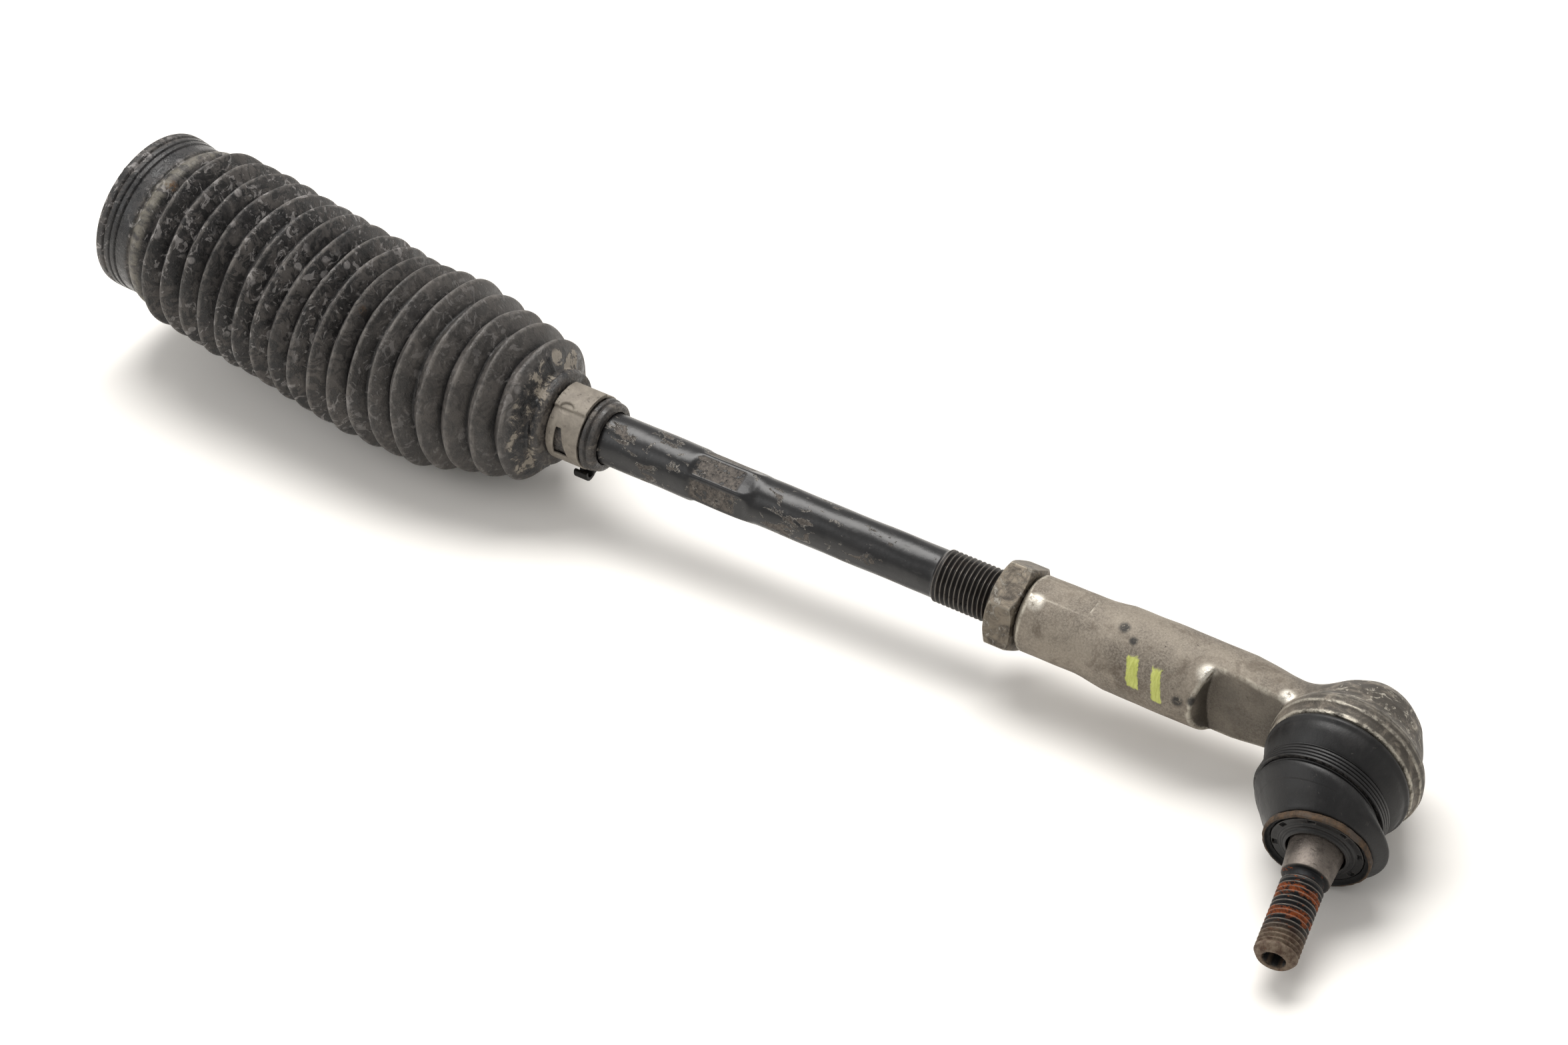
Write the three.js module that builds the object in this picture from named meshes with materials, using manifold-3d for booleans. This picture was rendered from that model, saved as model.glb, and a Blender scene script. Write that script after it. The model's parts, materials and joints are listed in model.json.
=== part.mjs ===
// Steering tie rod end: an inner rod with its rack joint and rubber bellows, screwed into
// an outer forged housing with its ball stud and dust boot. Millimetres, +Z up.
//
// The assembly lies on a surface the way it does off the car: on the folds of its bellows,
// on the side of its ball housing and on the tip of its stud. Everything is first built along
// the rod, with +X from the rack to the wheel and the origin at the outer ball's centre, and
// the whole is then tipped a little and set down.
import * as THREE from 'three';
import { mergeVertices } from 'three/addons/utils/BufferGeometryUtils.js';
import Module from 'manifold-3d';

const wasm = await Module();
wasm.setup();

const DEG = Math.PI / 180;
const GAP = 0.35;          // air between pieces that touch on the real assembly
const SIDES = 24;          // sides of a turned piece

// How the assembly lies
const ROD_SLOPE = 1.6 * DEG;     // the wheel end lies a little lower than the rack end
const STUD_DROOP = 9.5 * DEG;   // stud turned down about the rod's axis
const STUD_LEAN = 8.2 * DEG;     // stud leaned outboard, away from the rod
const RACK_LIFT = 5.2 * DEG;     // rack joint swung up off the rod's line
const RACK_DRIFT = 4.3 * DEG;    // and towards +Y

// Inner rod
const INNER_BALL_X = -316;
const INNER_BALL_R = 13.5;
const BALL_CLEARANCE = 0.3;      // between a ball and its nylon seat
const ROD_R = 8;
const ROD_NECK_R = 5.9;
const ROD_THIN_R = 7.2;
const ROD_STEP_X = -187;
const WRENCH_START_X = -209;
const WRENCH_ACROSS_FLATS = 14.2;
const ROD_THREAD_START_X = -126.5;
const ROD_THREAD_END_X = -72;
const ROD_THREAD_R = 7.9;        // M16 x 1.5

// Shell of the rack joint
const SHELL_R = 19;
const SHELL_SOCKET_R = 16.4;
const SHELL_MOUTH_X = INNER_BALL_X + 9.5;
const SHELL_BACK_X = INNER_BALL_X - 24;
const RACK_THREAD_R = 8;
const RACK_THREAD_END_X = SHELL_BACK_X - 24;

// Jam nut
const NUT_START_X = -107.6;
const NUT_END_X = -99.2;
const NUT_ACROSS_FLATS = 24;
const NUT_BORE_R = ROD_THREAD_R + GAP;

// Outer housing
const SHANK_START_X = NUT_END_X + GAP;
const SHANK_STEP_X = -79;
const SHANK_FULL_X = -69;
const SHANK_BORE_END_X = -60;
const SHANK_R = 11.3;
const ARM_R = 12.4;
const CUP_R = 21.8;
const CUP_MOUTH_Y = -12;
const CUP_BACK_Y = 17.3;
const SOCKET_R = 15.3;
const SEAT_R = SOCKET_R - GAP;
const RELIEF_R = 42;             // cutter that clears the arm beside the cup
const RELIEF_Y = -4.5;

// Ball stud, its seat and its boot, measured from the ball's centre along the stud
const BALL_R = 12.5;
const STUD_NECK_R = 6.6;
const BOOT_COLLAR_R = 19.3;
const BOOT_COLLAR_END = 24.5;
const BOOT_BULGE_R = 19;
const BOOT_RING_AT = 35;
const BOOT_RING_R = 14.7;
const BULGE_FROM = BOOT_COLLAR_END + GAP;
const BULGE_TO = BOOT_RING_AT - 1.4;
const BOOT_WINDOWS = 8;
const TAPER_START = 33;
const TAPER_END = 45;
const TAPER_START_R = 7.7;
const TAPER_END_R = 6.6;
const STUD_THREAD_R = 5.9;       // M12 x 1.5
const STUD_TIP = 71.2;
const STUD_SOCKET_R = 3.2;
const STUD_SOCKET_DEPTH = 7;

// Bellows
const BELLOWS_RIM_X = -419.5;
const BELLOWS_COLLAR_END_X = -403.5;
const BELLOWS_COLLAR_R = 26.3;
const RIDGE_R = 29.5;
const VALLEY_DEPTH = 4.6;
const WALL = 1.6;
const RIDGE_PITCH = 7.5;
const FULL_RIDGES = 13;
const TAPER_RIDGE_PITCH = 8.25;
const FIRST_RIDGE_X = -396.1;
const TAPER_RIDGE_R = [29.5, 27.6, 25.7, 24.3, 22];
const LAST_FOLD = FULL_RIDGES + TAPER_RIDGE_R.length - 1;
const REAR_FOLDS_END = 7;        // folds that travel with the rack joint
const MIDDLE_FOLDS_END = 12;     // folds round the inner ball
const NECK_BEAD_X = -256.5;
const NECK_R = 10.3;
const NECK_END_X = -239.5;
const BELLOWS_BEND_FROM_X = -302;
const BELLOWS_BEND_TO_X = -340;
const CLAMP_START_X = -255.5;
const CLAMP_END_X = -244.5;
const CLAMP_R = 11.7;

const materials = {
  forged: { color: 0x7d7870, roughness: 0.6, metalness: 0.55 },
  blackPaint: { color: 0x1d1f22, roughness: 0.4, metalness: 0.1 },
  zinc: { color: 0x6f675c, roughness: 0.5, metalness: 0.7 },
  bareSteel: { color: 0x77726c, roughness: 0.4, metalness: 0.85 },
  clampSteel: { color: 0x8f897c, roughness: 0.55, metalness: 0.4 },
  rubber: { color: 0x2a2b2c, roughness: 0.75, metalness: 0 },
  bootRubber: { color: 0x17181a, roughness: 0.5, metalness: 0 },
  nylon: { color: 0xd8d3c4, roughness: 0.5, metalness: 0 },
  rustySteel: { color: 0x5b3b25, roughness: 0.85, metalness: 0.3 },
};
for (const [name, look] of Object.entries(materials)) {
  materials[name] = new THREE.MeshStandardMaterial(look);
}

// ---------------------------------------------------------------- geometry helpers

// Merges a geometry's shared vertices, so that only positions and faces are left.
function welded(geometry) {
  const copy = geometry.clone();
  copy.deleteAttribute('normal');
  copy.deleteAttribute('uv');
  return mergeVertices(copy, 1e-4);
}

function volumeOf(geometry) {
  const position = geometry.attributes.position;
  const [a, b, c] = [new THREE.Vector3(), new THREE.Vector3(), new THREE.Vector3()];
  let volume = 0;
  for (let i = 0; i < geometry.index.count; i += 3) {
    a.fromBufferAttribute(position, geometry.index.getX(i));
    b.fromBufferAttribute(position, geometry.index.getX(i + 1));
    c.fromBufferAttribute(position, geometry.index.getX(i + 2));
    volume += a.dot(b.cross(c)) / 6;
  }
  return volume;
}

// Turns the faces of a closed geometry outwards.
function facingOut(geometry) {
  const shape = welded(geometry);
  if (volumeOf(shape) < 0) {
    shape.index.array.reverse();
  }
  return shape;
}

function solid(geometry) {
  const shape = facingOut(geometry);
  return new wasm.Manifold(new wasm.Mesh({
    numProp: 3,
    vertProperties: new Float32Array(shape.attributes.position.array),
    triVerts: new Uint32Array(shape.index.array),
  }));
}

function geometryOf(manifold) {
  const { numProp, vertProperties, triVerts } = manifold.getMesh();
  const geometry = new THREE.BufferGeometry();
  const positions = new Float32Array((vertProperties.length / numProp) * 3);
  for (let i = 0; i < positions.length / 3; i += 1) {
    positions.set(vertProperties.subarray(i * numProp, i * numProp + 3), i * 3);
  }
  geometry.setAttribute('position', new THREE.BufferAttribute(positions, 3));
  geometry.setIndex(new THREE.BufferAttribute(new Uint32Array(triVerts), 1));
  return geometry;
}

// A turned solid about X. The profile is a list of [x, radius]; one that leaves the axis
// is a ring and is closed back to its first point.
function turned(profile, sides = SIDES) {
  const points = profile.map(([x, r]) => new THREE.Vector2(r, x));
  const ring = points[0].x > 0;
  if (ring) {
    points.push(points[0].clone());
  }
  return facingOut(new THREE.LatheGeometry(points, sides).rotateZ(-Math.PI / 2));
}

// A turned solid about the ball joint's axis: distances grow from the ball to the stud's tip.
function turnedDown(profile, sides = SIDES) {
  return turned(profile, sides).rotateZ(-Math.PI / 2);
}

// Points of an arc in a profile, about [centre, 0], from one angle to another off +X. A point
// on the axis has a radius of exactly zero.
function arc(centre, radius, fromDeg, toDeg, steps) {
  return Array.from({ length: steps + 1 }, (_, i) => {
    const angle = (fromDeg + ((toDeg - fromDeg) * i) / steps) * DEG;
    const height = radius * Math.sin(angle);
    return [centre + radius * Math.cos(angle), height < 1e-9 ? 0 : height];
  });
}

// A hexagonal bar along X.
function hexBar(acrossFlats, startX, endX) {
  const bar = new THREE.CylinderGeometry(acrossFlats / Math.sqrt(3), acrossFlats / Math.sqrt(3),
    endX - startX, 6);
  return bar.rotateZ(-Math.PI / 2).translate((startX + endX) / 2, 0, 0);
}

function block(sizeX, sizeY, sizeZ, x, y, z) {
  return new THREE.BoxGeometry(sizeX, sizeY, sizeZ).translate(x, y, z);
}

function piece(name, geometry, material) {
  const mesh = new THREE.Mesh(geometry, material);
  mesh.name = name;
  return mesh;
}

// Turns a geometry about a point on the rod's line by a share of a swing: none of it where
// reach is 0, all of it where reach is 1.
function swung(geometry, centre, swing, reach) {
  const position = geometry.attributes.position;
  const point = new THREE.Vector3();
  for (let i = 0; i < position.count; i += 1) {
    point.fromBufferAttribute(position, i);
    const share = THREE.MathUtils.smoothstep(reach(point), 0, 1);
    const turn = new THREE.Euler(swing.x * share, swing.y * share, swing.z * share);
    point.sub(centre).applyEuler(turn).add(centre);
    position.setXYZ(i, point.x, point.y, point.z);
  }
  return geometry;
}

const OUTER_BALL = new THREE.Vector3(0, 0, 0);
const INNER_BALL = new THREE.Vector3(INNER_BALL_X, 0, 0);
const STUD_SWING = new THREE.Euler(STUD_DROOP, 0, STUD_LEAN);
const RACK_SWING = new THREE.Euler(0, RACK_LIFT, -RACK_DRIFT);

// ---------------------------------------------------------------- inner rod and rack joint

function tieRodShaft() {
  const ballEdge = Math.asin(ROD_NECK_R / INNER_BALL_R) / DEG;
  const profile = [
    ...arc(INNER_BALL_X, INNER_BALL_R, 180, ballEdge, 9),
    [INNER_BALL_X + 24, ROD_NECK_R],
    [INNER_BALL_X + 34, ROD_R],
    [ROD_STEP_X - 2, ROD_R],
    [ROD_STEP_X + 1, ROD_THIN_R],
    [ROD_THREAD_START_X, ROD_THIN_R],
    [ROD_THREAD_START_X + 1, ROD_THREAD_R],
    [ROD_THREAD_END_X - 1.5, ROD_THREAD_R],
    [ROD_THREAD_END_X, ROD_THREAD_R - 1.5],
    [ROD_THREAD_END_X, 0],
  ];
  const rod = solid(turned(profile));
  const aroundFlats = solid(turned([
    [WRENCH_START_X, ROD_R + 3],
    [ROD_STEP_X - 3, ROD_R + 3],
    [ROD_STEP_X - 3, 0.5],
    [WRENCH_START_X, 0.5],
  ]));
  const hexagon = solid(hexBar(WRENCH_ACROSS_FLATS, WRENCH_START_X - 4, ROD_STEP_X + 4));
  return geometryOf(rod.subtract(aroundFlats.subtract(hexagon)));
}

// The steel shell of the rack joint: open towards the rod, with a threaded end for the rack.
function innerJointHousing() {
  const mouthAngle = 52;
  const shell = turned([
    [RACK_THREAD_END_X, 0],
    [RACK_THREAD_END_X, RACK_THREAD_R - 1.5],
    [RACK_THREAD_END_X + 1.5, RACK_THREAD_R],
    [SHELL_BACK_X, RACK_THREAD_R],
    [SHELL_BACK_X, SHELL_R - 1],
    [SHELL_BACK_X + 1, SHELL_R],
    [SHELL_MOUTH_X - 4, SHELL_R],
    [SHELL_MOUTH_X, SHELL_R - 3.4],
    ...arc(INNER_BALL_X, SHELL_SOCKET_R - 1.6, mouthAngle, mouthAngle + 8, 2),
    ...arc(INNER_BALL_X, SHELL_SOCKET_R, mouthAngle + 14, 180, 8),
  ]);
  const wrenchFlats = [-1, 1].map((side) => solid(
    block(12, 60, 10, SHELL_BACK_X + 6, 0, side * (SHELL_R - 2 + 5)),
  ));
  return geometryOf(wrenchFlats.reduce((body, flat) => body.subtract(flat), solid(shell)));
}

function innerBallSeat() {
  return turned([
    ...arc(INNER_BALL_X, SHELL_SOCKET_R - GAP, 180, 66, 8),
    ...arc(INNER_BALL_X, INNER_BALL_R + BALL_CLEARANCE, 66, 180, 8),
  ]);
}

// ---------------------------------------------------------------- bellows

// Every fold's crest as [x, radius], from the free end to the neck.
function ridges() {
  const full = Array.from({ length: FULL_RIDGES }, (_, i) => [
    FIRST_RIDGE_X + i * RIDGE_PITCH,
    RIDGE_R,
  ]);
  const lastFullX = full[full.length - 1][0];
  const tapering = TAPER_RIDGE_R.map((r, i) => [lastFullX + (i + 1) * TAPER_RIDGE_PITCH, r]);
  return [...full, ...tapering];
}

// The folds from one ridge to another, ending in the valleys next to them. A crest is flat
// over twice crestHalf, or one point where that is zero.
function foldProfile(first, last, crestHalf) {
  const crests = ridges();
  const profile = [];
  for (let i = first; i <= last; i += 1) {
    const [x, r] = crests[i];
    const halfPitch = (i < FULL_RIDGES ? RIDGE_PITCH : TAPER_RIDGE_PITCH) / 2;
    profile.push([x - halfPitch + (i === first ? GAP / 2 : 0), r - VALLEY_DEPTH]);
    profile.push([x - crestHalf, r]);
    if (crestHalf > 0) {
      profile.push([x + crestHalf, r]);
    }
    if (i === last) {
      profile.push([x + halfPitch - GAP / 2, r - VALLEY_DEPTH]);
    }
  }
  return profile;
}

function bellowsFolds(first, last) {
  const outer = foldProfile(first, last, 1.4);
  const inner = foldProfile(first, last, 0).map(([x, r]) => [x, r - WALL]).reverse();
  return turned([...outer, ...inner]);
}

// The folds round the inner ball, which bend as the rack joint swings.
function bellowsMiddleFolds(first, last) {
  const length = BELLOWS_BEND_TO_X - BELLOWS_BEND_FROM_X;
  return swung(bellowsFolds(first, last), INNER_BALL, RACK_SWING,
    (point) => (point.x - BELLOWS_BEND_FROM_X) / length);
}

function bellowsCollar() {
  const [firstX, firstR] = ridges()[0];
  const endX = firstX - RIDGE_PITCH / 2 - GAP / 2;
  const endR = firstR - VALLEY_DEPTH;
  return turned([
    [BELLOWS_RIM_X, BELLOWS_COLLAR_R - 3.2],
    [BELLOWS_RIM_X, BELLOWS_COLLAR_R],
    [BELLOWS_RIM_X + 3.4, BELLOWS_COLLAR_R],
    [BELLOWS_RIM_X + 4, BELLOWS_COLLAR_R - 0.7],
    [BELLOWS_COLLAR_END_X - 6, BELLOWS_COLLAR_R - 0.7],
    [BELLOWS_COLLAR_END_X - 5, BELLOWS_COLLAR_R + 0.2],
    [BELLOWS_COLLAR_END_X - 1, BELLOWS_COLLAR_R - 0.4],
    [endX, endR],
    [endX, endR - WALL],
    [BELLOWS_COLLAR_END_X - 1, BELLOWS_COLLAR_R - 3.2],
  ]);
}

function bellowsNeck() {
  const [lastX, lastR] = ridges()[ridges().length - 1];
  const startX = lastX + TAPER_RIDGE_PITCH / 2 + GAP / 2;
  const startR = lastR - VALLEY_DEPTH;
  return turned([
    [startX, startR],
    [NECK_BEAD_X - 2, 14.6],
    [NECK_BEAD_X, 14.2],
    [NECK_BEAD_X + 0.6, NECK_R],
    [NECK_END_X - 3.5, NECK_R],
    [NECK_END_X - 2.6, NECK_R + 0.6],
    [NECK_END_X, NECK_R - 0.4],
    [NECK_END_X, ROD_R + GAP],
    [NECK_BEAD_X + 2, ROD_R + GAP],
    [NECK_BEAD_X - 2, 11.6],
    [startX, startR - WALL],
  ]);
}

// The spring band round the neck, with its window, its notch and the hooked tang below.
function bellowsClamp() {
  const bandR = NECK_R + GAP;
  const width = CLAMP_END_X - CLAMP_START_X;
  const middleX = (CLAMP_START_X + CLAMP_END_X) / 2;
  const band = solid(turned([
    [CLAMP_START_X, CLAMP_R + 0.2],
    [CLAMP_END_X, CLAMP_R],
    [CLAMP_END_X, bandR],
    [CLAMP_START_X, bandR],
  ], 28));
  const wedge = new THREE.Shape([
    new THREE.Vector2(-1.5, -3.2),
    new THREE.Vector2(1.5, -3.2),
    new THREE.Vector2(0.7, 3.2),
    new THREE.Vector2(-0.4, 3.2),
  ]);
  const window = solid(new THREE.ExtrudeGeometry(wedge, { depth: 8, bevelEnabled: false })
    .rotateX(Math.PI / 2).translate(middleX - 0.5, -8, 0));
  const tang = solid(block(0.42 * width, 2.6, 4.2, middleX + 0.12 * width, 0, -CLAMP_R - 1.6));
  const hook = solid(block(0.42 * width, 4.4, 1.2, middleX + 0.12 * width, -1.2, -CLAMP_R - 3.3));
  return geometryOf(band.subtract(window).add(tang).add(hook));
}

// ---------------------------------------------------------------- jam nut and outer housing

function jamNut() {
  const cornerR = NUT_ACROSS_FLATS / Math.sqrt(3);
  const chamfer = 1.1;
  const blank = solid(hexBar(NUT_ACROSS_FLATS, NUT_START_X, NUT_END_X).rotateX(8 * DEG));
  const corners = solid(turned([
    [NUT_START_X - 1, NUT_BORE_R],
    [NUT_START_X - 1, cornerR - 3 * chamfer],
    [NUT_START_X + chamfer, cornerR + 0.6],
    [NUT_END_X - chamfer, cornerR + 0.6],
    [NUT_END_X + 1, cornerR - 3 * chamfer],
    [NUT_END_X + 1, NUT_BORE_R],
  ], 36));
  return geometryOf(blank.intersect(corners));
}

// Forged in one piece: a threaded shank, an arm and a ball cup that opens towards -Y.
function outerHousing() {
  const armEndX = -6;
  const arm = solid(turned([
    [SHANK_START_X, 0],
    [SHANK_START_X, SHANK_R - 1.2],
    [SHANK_START_X + 1.2, SHANK_R],
    [SHANK_STEP_X, SHANK_R],
    [SHANK_FULL_X, ARM_R],
    [-30, ARM_R],
    [-20, ARM_R - 1.6],
    [armEndX, ARM_R - 2],
    [armEndX, 0],
  ], 28));
  const cup = solid(turnedDown([
    [-CUP_BACK_Y, 0],
    [-CUP_BACK_Y, 6.5],
    [-CUP_BACK_Y + 2.2, 10],
    [-10.5, 13.9],
    [-4.5, 16.9],
    [0.5, 18.7],
    [4.5, CUP_R],
    [-CUP_MOUTH_Y - 3.4, CUP_R],
    [-CUP_MOUTH_Y - 2.6, CUP_R - 0.9],
    [-CUP_MOUTH_Y, CUP_R - 0.9],
    [-CUP_MOUTH_Y, 0],
  ], 32));
  const socket = solid(turnedDown([
    ...arc(0, SOCKET_R, 180, 90, 6),
    [-CUP_MOUTH_Y + 1, SOCKET_R],
    [-CUP_MOUTH_Y + 1, 0],
  ], 28));
  const bore = solid(turned([
    [SHANK_START_X - 1, 0],
    [SHANK_START_X - 1, NUT_BORE_R],
    [SHANK_BORE_END_X, NUT_BORE_R],
    [SHANK_BORE_END_X + 4, 0],
  ]));
  const relief = solid(turnedDown([
    [-RELIEF_Y, 0],
    [-RELIEF_Y, RELIEF_R],
    [-RELIEF_Y + 20, RELIEF_R + 4],
    [-RELIEF_Y + 20, 0],
  ], 48));
  const flats = [-1, 1].map((side) => solid(
    block(SHANK_STEP_X - SHANK_START_X + 2, 30, 4,
      (SHANK_STEP_X + SHANK_START_X) / 2 - 1, 0, side * (SHANK_R - 0.7 + 2)),
  ));
  let body = arm.subtract(relief);
  flats.forEach((flat) => {
    body = body.subtract(flat);
  });
  return geometryOf(body.add(cup).subtract(socket).subtract(bore));
}

function outerBallSeat() {
  const mouth = -CUP_MOUTH_Y - 4.4;
  return turnedDown([
    ...arc(0, SEAT_R, 180, 90, 6),
    [mouth, SEAT_R],
    [mouth, SEAT_R - 1.2],
    ...arc(0, BALL_R + BALL_CLEARANCE, 62, 180, 7),
  ]);
}

// Pressed into the cup's mouth over the seat.
function seatRetainingRing() {
  const from = -CUP_MOUTH_Y - 4;
  const to = -CUP_MOUTH_Y - 1.2;
  return turnedDown([
    [from, SEAT_R - 1.2],
    [from, SEAT_R],
    [to, SEAT_R],
    [to, SEAT_R - 1.2],
  ]);
}

// ---------------------------------------------------------------- dust boot

function bootCollar() {
  const top = -CUP_MOUTH_Y + GAP;
  const coilStart = BOOT_COLLAR_END - 5;
  return turnedDown([
    [top, BOOT_COLLAR_R - 3],
    [top, BOOT_COLLAR_R + 1.5],
    [top + 1.8, BOOT_COLLAR_R + 1.5],
    [top + 2.4, BOOT_COLLAR_R + 0.6],
    [coilStart - 1, BOOT_COLLAR_R - 0.9],
    [coilStart, BOOT_COLLAR_R - 1.9],
    [BOOT_COLLAR_END, BOOT_COLLAR_R - 1.9],
    [BOOT_COLLAR_END, BOOT_COLLAR_R - 3.4],
    [coilStart - 1, BOOT_COLLAR_R - 3.4],
  ]);
}

// Four turns of flat wire that hold the boot's upper end.
function bootSpringRing() {
  const turns = 4;
  const pitch = 1.1;
  const start = BOOT_COLLAR_END - 4.75;
  const innerR = BOOT_COLLAR_R - 1.9 + GAP;
  const crestR = BOOT_COLLAR_R - 0.8;
  const outer = [];
  for (let i = 0; i < turns; i += 1) {
    outer.push([start + i * pitch + 0.12, crestR]);
    outer.push([start + (i + 1) * pitch - 0.3, crestR]);
    if (i < turns - 1) {
      outer.push([start + (i + 1) * pitch - 0.1, crestR - 0.35]);
    }
  }
  return turnedDown([[start, innerR], ...outer, [start + turns * pitch, innerR]]);
}

function dustBoot() {
  const outer = [
    [BULGE_FROM, BOOT_COLLAR_R - 2.4],
    [BULGE_FROM + 1.3, BOOT_BULGE_R - 1.1],
    [BULGE_FROM + 3.2, BOOT_BULGE_R],
    [BULGE_FROM + 5.2, BOOT_BULGE_R - 0.7],
    [BULGE_TO - 1, BOOT_BULGE_R - 4.2],
    [BULGE_TO, BOOT_RING_R - 0.3],
  ];
  const inner = [
    [BULGE_TO, BOOT_RING_R - 2.4],
    [BULGE_TO - 2, BOOT_BULGE_R - 6.1],
    [BULGE_FROM + 4.6, BOOT_BULGE_R - 3],
    [BULGE_FROM + 3, BOOT_BULGE_R - 2.4],
    [BULGE_FROM, BOOT_COLLAR_R - 4.2],
  ];
  const length = BULGE_TO - BULGE_FROM;
  return swung(turnedDown([...outer, ...inner], 28), OUTER_BALL, STUD_SWING,
    (point) => (-point.y - BULGE_FROM) / length);
}

// These two ride on the stud's line, square to it.
function bootRing() {
  return turnedDown([
    [BOOT_RING_AT - 1, BOOT_RING_R - 1.8],
    [BOOT_RING_AT - 1, BOOT_RING_R],
    [BOOT_RING_AT + 1.1, BOOT_RING_R],
    [BOOT_RING_AT + 1.1, BOOT_RING_R - 0.9],
    [BOOT_RING_AT, BOOT_RING_R - 1.8],
  ]);
}

function bootSealDisc() {
  const disc = solid(turnedDown([
    [BOOT_RING_AT - 1, TAPER_START_R + GAP + 0.3],
    [BOOT_RING_AT - 1, BOOT_RING_R - 1.8 - GAP],
    [BOOT_RING_AT - 0.1, BOOT_RING_R - 1.8 - GAP],
    [BOOT_RING_AT - 0.1, TAPER_START_R + 2.4],
    [BOOT_RING_AT + 0.9, TAPER_START_R + 1.4],
    [BOOT_RING_AT + 0.9, TAPER_START_R + GAP + 0.3],
  ]));
  let windowed = disc;
  for (let i = 0; i < BOOT_WINDOWS; i += 1) {
    const angle = (i / BOOT_WINDOWS) * 2 * Math.PI + 0.2;
    const slot = block(1.1, 4, 1.9, BOOT_RING_R - 3.2, -BOOT_RING_AT, 0).rotateY(angle);
    windowed = windowed.subtract(solid(slot));
  }
  return geometryOf(windowed);
}

// ---------------------------------------------------------------- ball stud

function ballStud() {
  const ballEdge = Math.asin(STUD_NECK_R / BALL_R) / DEG;
  const blank = solid(turnedDown([
    ...arc(0, BALL_R, 180, ballEdge, 8),
    [TAPER_START - 7, STUD_NECK_R],
    [TAPER_START - 3, TAPER_START_R],
    [TAPER_START, TAPER_START_R],
    [TAPER_END, TAPER_END_R],
    [TAPER_END + 0.3, STUD_THREAD_R - 0.8],
    [TAPER_END + 2.3, STUD_THREAD_R - 0.8],
    [TAPER_END + 3, STUD_THREAD_R],
    [STUD_TIP - 1.6, STUD_THREAD_R],
    [STUD_TIP, STUD_THREAD_R - 1.1],
    [STUD_TIP, 0],
  ]));
  const hexagon = new THREE.CylinderGeometry(STUD_SOCKET_R, STUD_SOCKET_R, 2 * STUD_SOCKET_DEPTH, 6);
  return geometryOf(blank.subtract(solid(hexagon.translate(0, -STUD_TIP, 0))));
}

// ---------------------------------------------------------------- assembly

const onRod = new THREE.Group();
onRod.add(
  piece('tie_rod_shaft', tieRodShaft(), materials.blackPaint),
  piece('bellows_middle_folds', bellowsMiddleFolds(REAR_FOLDS_END + 1, MIDDLE_FOLDS_END),
    materials.rubber),
  piece('bellows_front_folds', bellowsFolds(MIDDLE_FOLDS_END + 1, LAST_FOLD), materials.rubber),
  piece('bellows_neck', bellowsNeck(), materials.rubber),
  piece('bellows_clamp', bellowsClamp(), materials.clampSteel),
  piece('jam_nut', jamNut(), materials.zinc),
  piece('outer_housing', outerHousing(), materials.forged),
  piece('outer_ball_seat', outerBallSeat(), materials.nylon),
  piece('seat_retaining_ring', seatRetainingRing(), materials.bareSteel),
  piece('boot_collar', bootCollar(), materials.bootRubber),
  piece('boot_spring_ring', bootSpringRing(), materials.bootRubber),
  piece('dust_boot', dustBoot(), materials.bootRubber),
);

// Built on the rod's line round the inner ball, then swung about it.
const onRack = new THREE.Group();
onRack.add(
  piece('inner_joint_housing', innerJointHousing(), materials.bareSteel),
  piece('inner_ball_seat', innerBallSeat(), materials.nylon),
  piece('bellows_collar', bellowsCollar(), materials.rubber),
  piece('bellows_rear_folds', bellowsFolds(0, REAR_FOLDS_END), materials.rubber),
);
onRack.rotation.copy(RACK_SWING);
onRack.position.copy(INNER_BALL).sub(INNER_BALL.clone().applyEuler(RACK_SWING));
onRod.add(onRack);

const onStud = new THREE.Group();
onStud.add(
  piece('boot_ring', bootRing(), materials.rustySteel),
  piece('boot_seal_disc', bootSealDisc(), materials.bootRubber),
  piece('ball_stud', ballStud(), materials.bareSteel),
);
onStud.rotation.copy(STUD_SWING);
onRod.add(onStud);

onRod.rotation.y = ROD_SLOPE;
const tieRodEnd = new THREE.Group();
tieRodEnd.add(onRod);

// Set down with the middle of its footprint at the origin.
const extent = new THREE.Box3().setFromObject(tieRodEnd, true);
const middle = extent.getCenter(new THREE.Vector3());
tieRodEnd.position.set(-middle.x, -middle.y, -extent.min.z);

export default tieRodEnd;
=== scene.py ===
"""A used steering tie rod end: rubber bellows, painted inner rod, jam nut, forged outer housing
with its ball stud, and the dust boot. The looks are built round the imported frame, in metres.

Every new piece is worked out in millimetres along its own line (the rod, the rack joint, the cup
or the stud), with x along that line, and is then put in its place in the frame.
"""
import functools
import json
import math

import bpy
import numpy as np
from mathutils import Matrix, Vector


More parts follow.
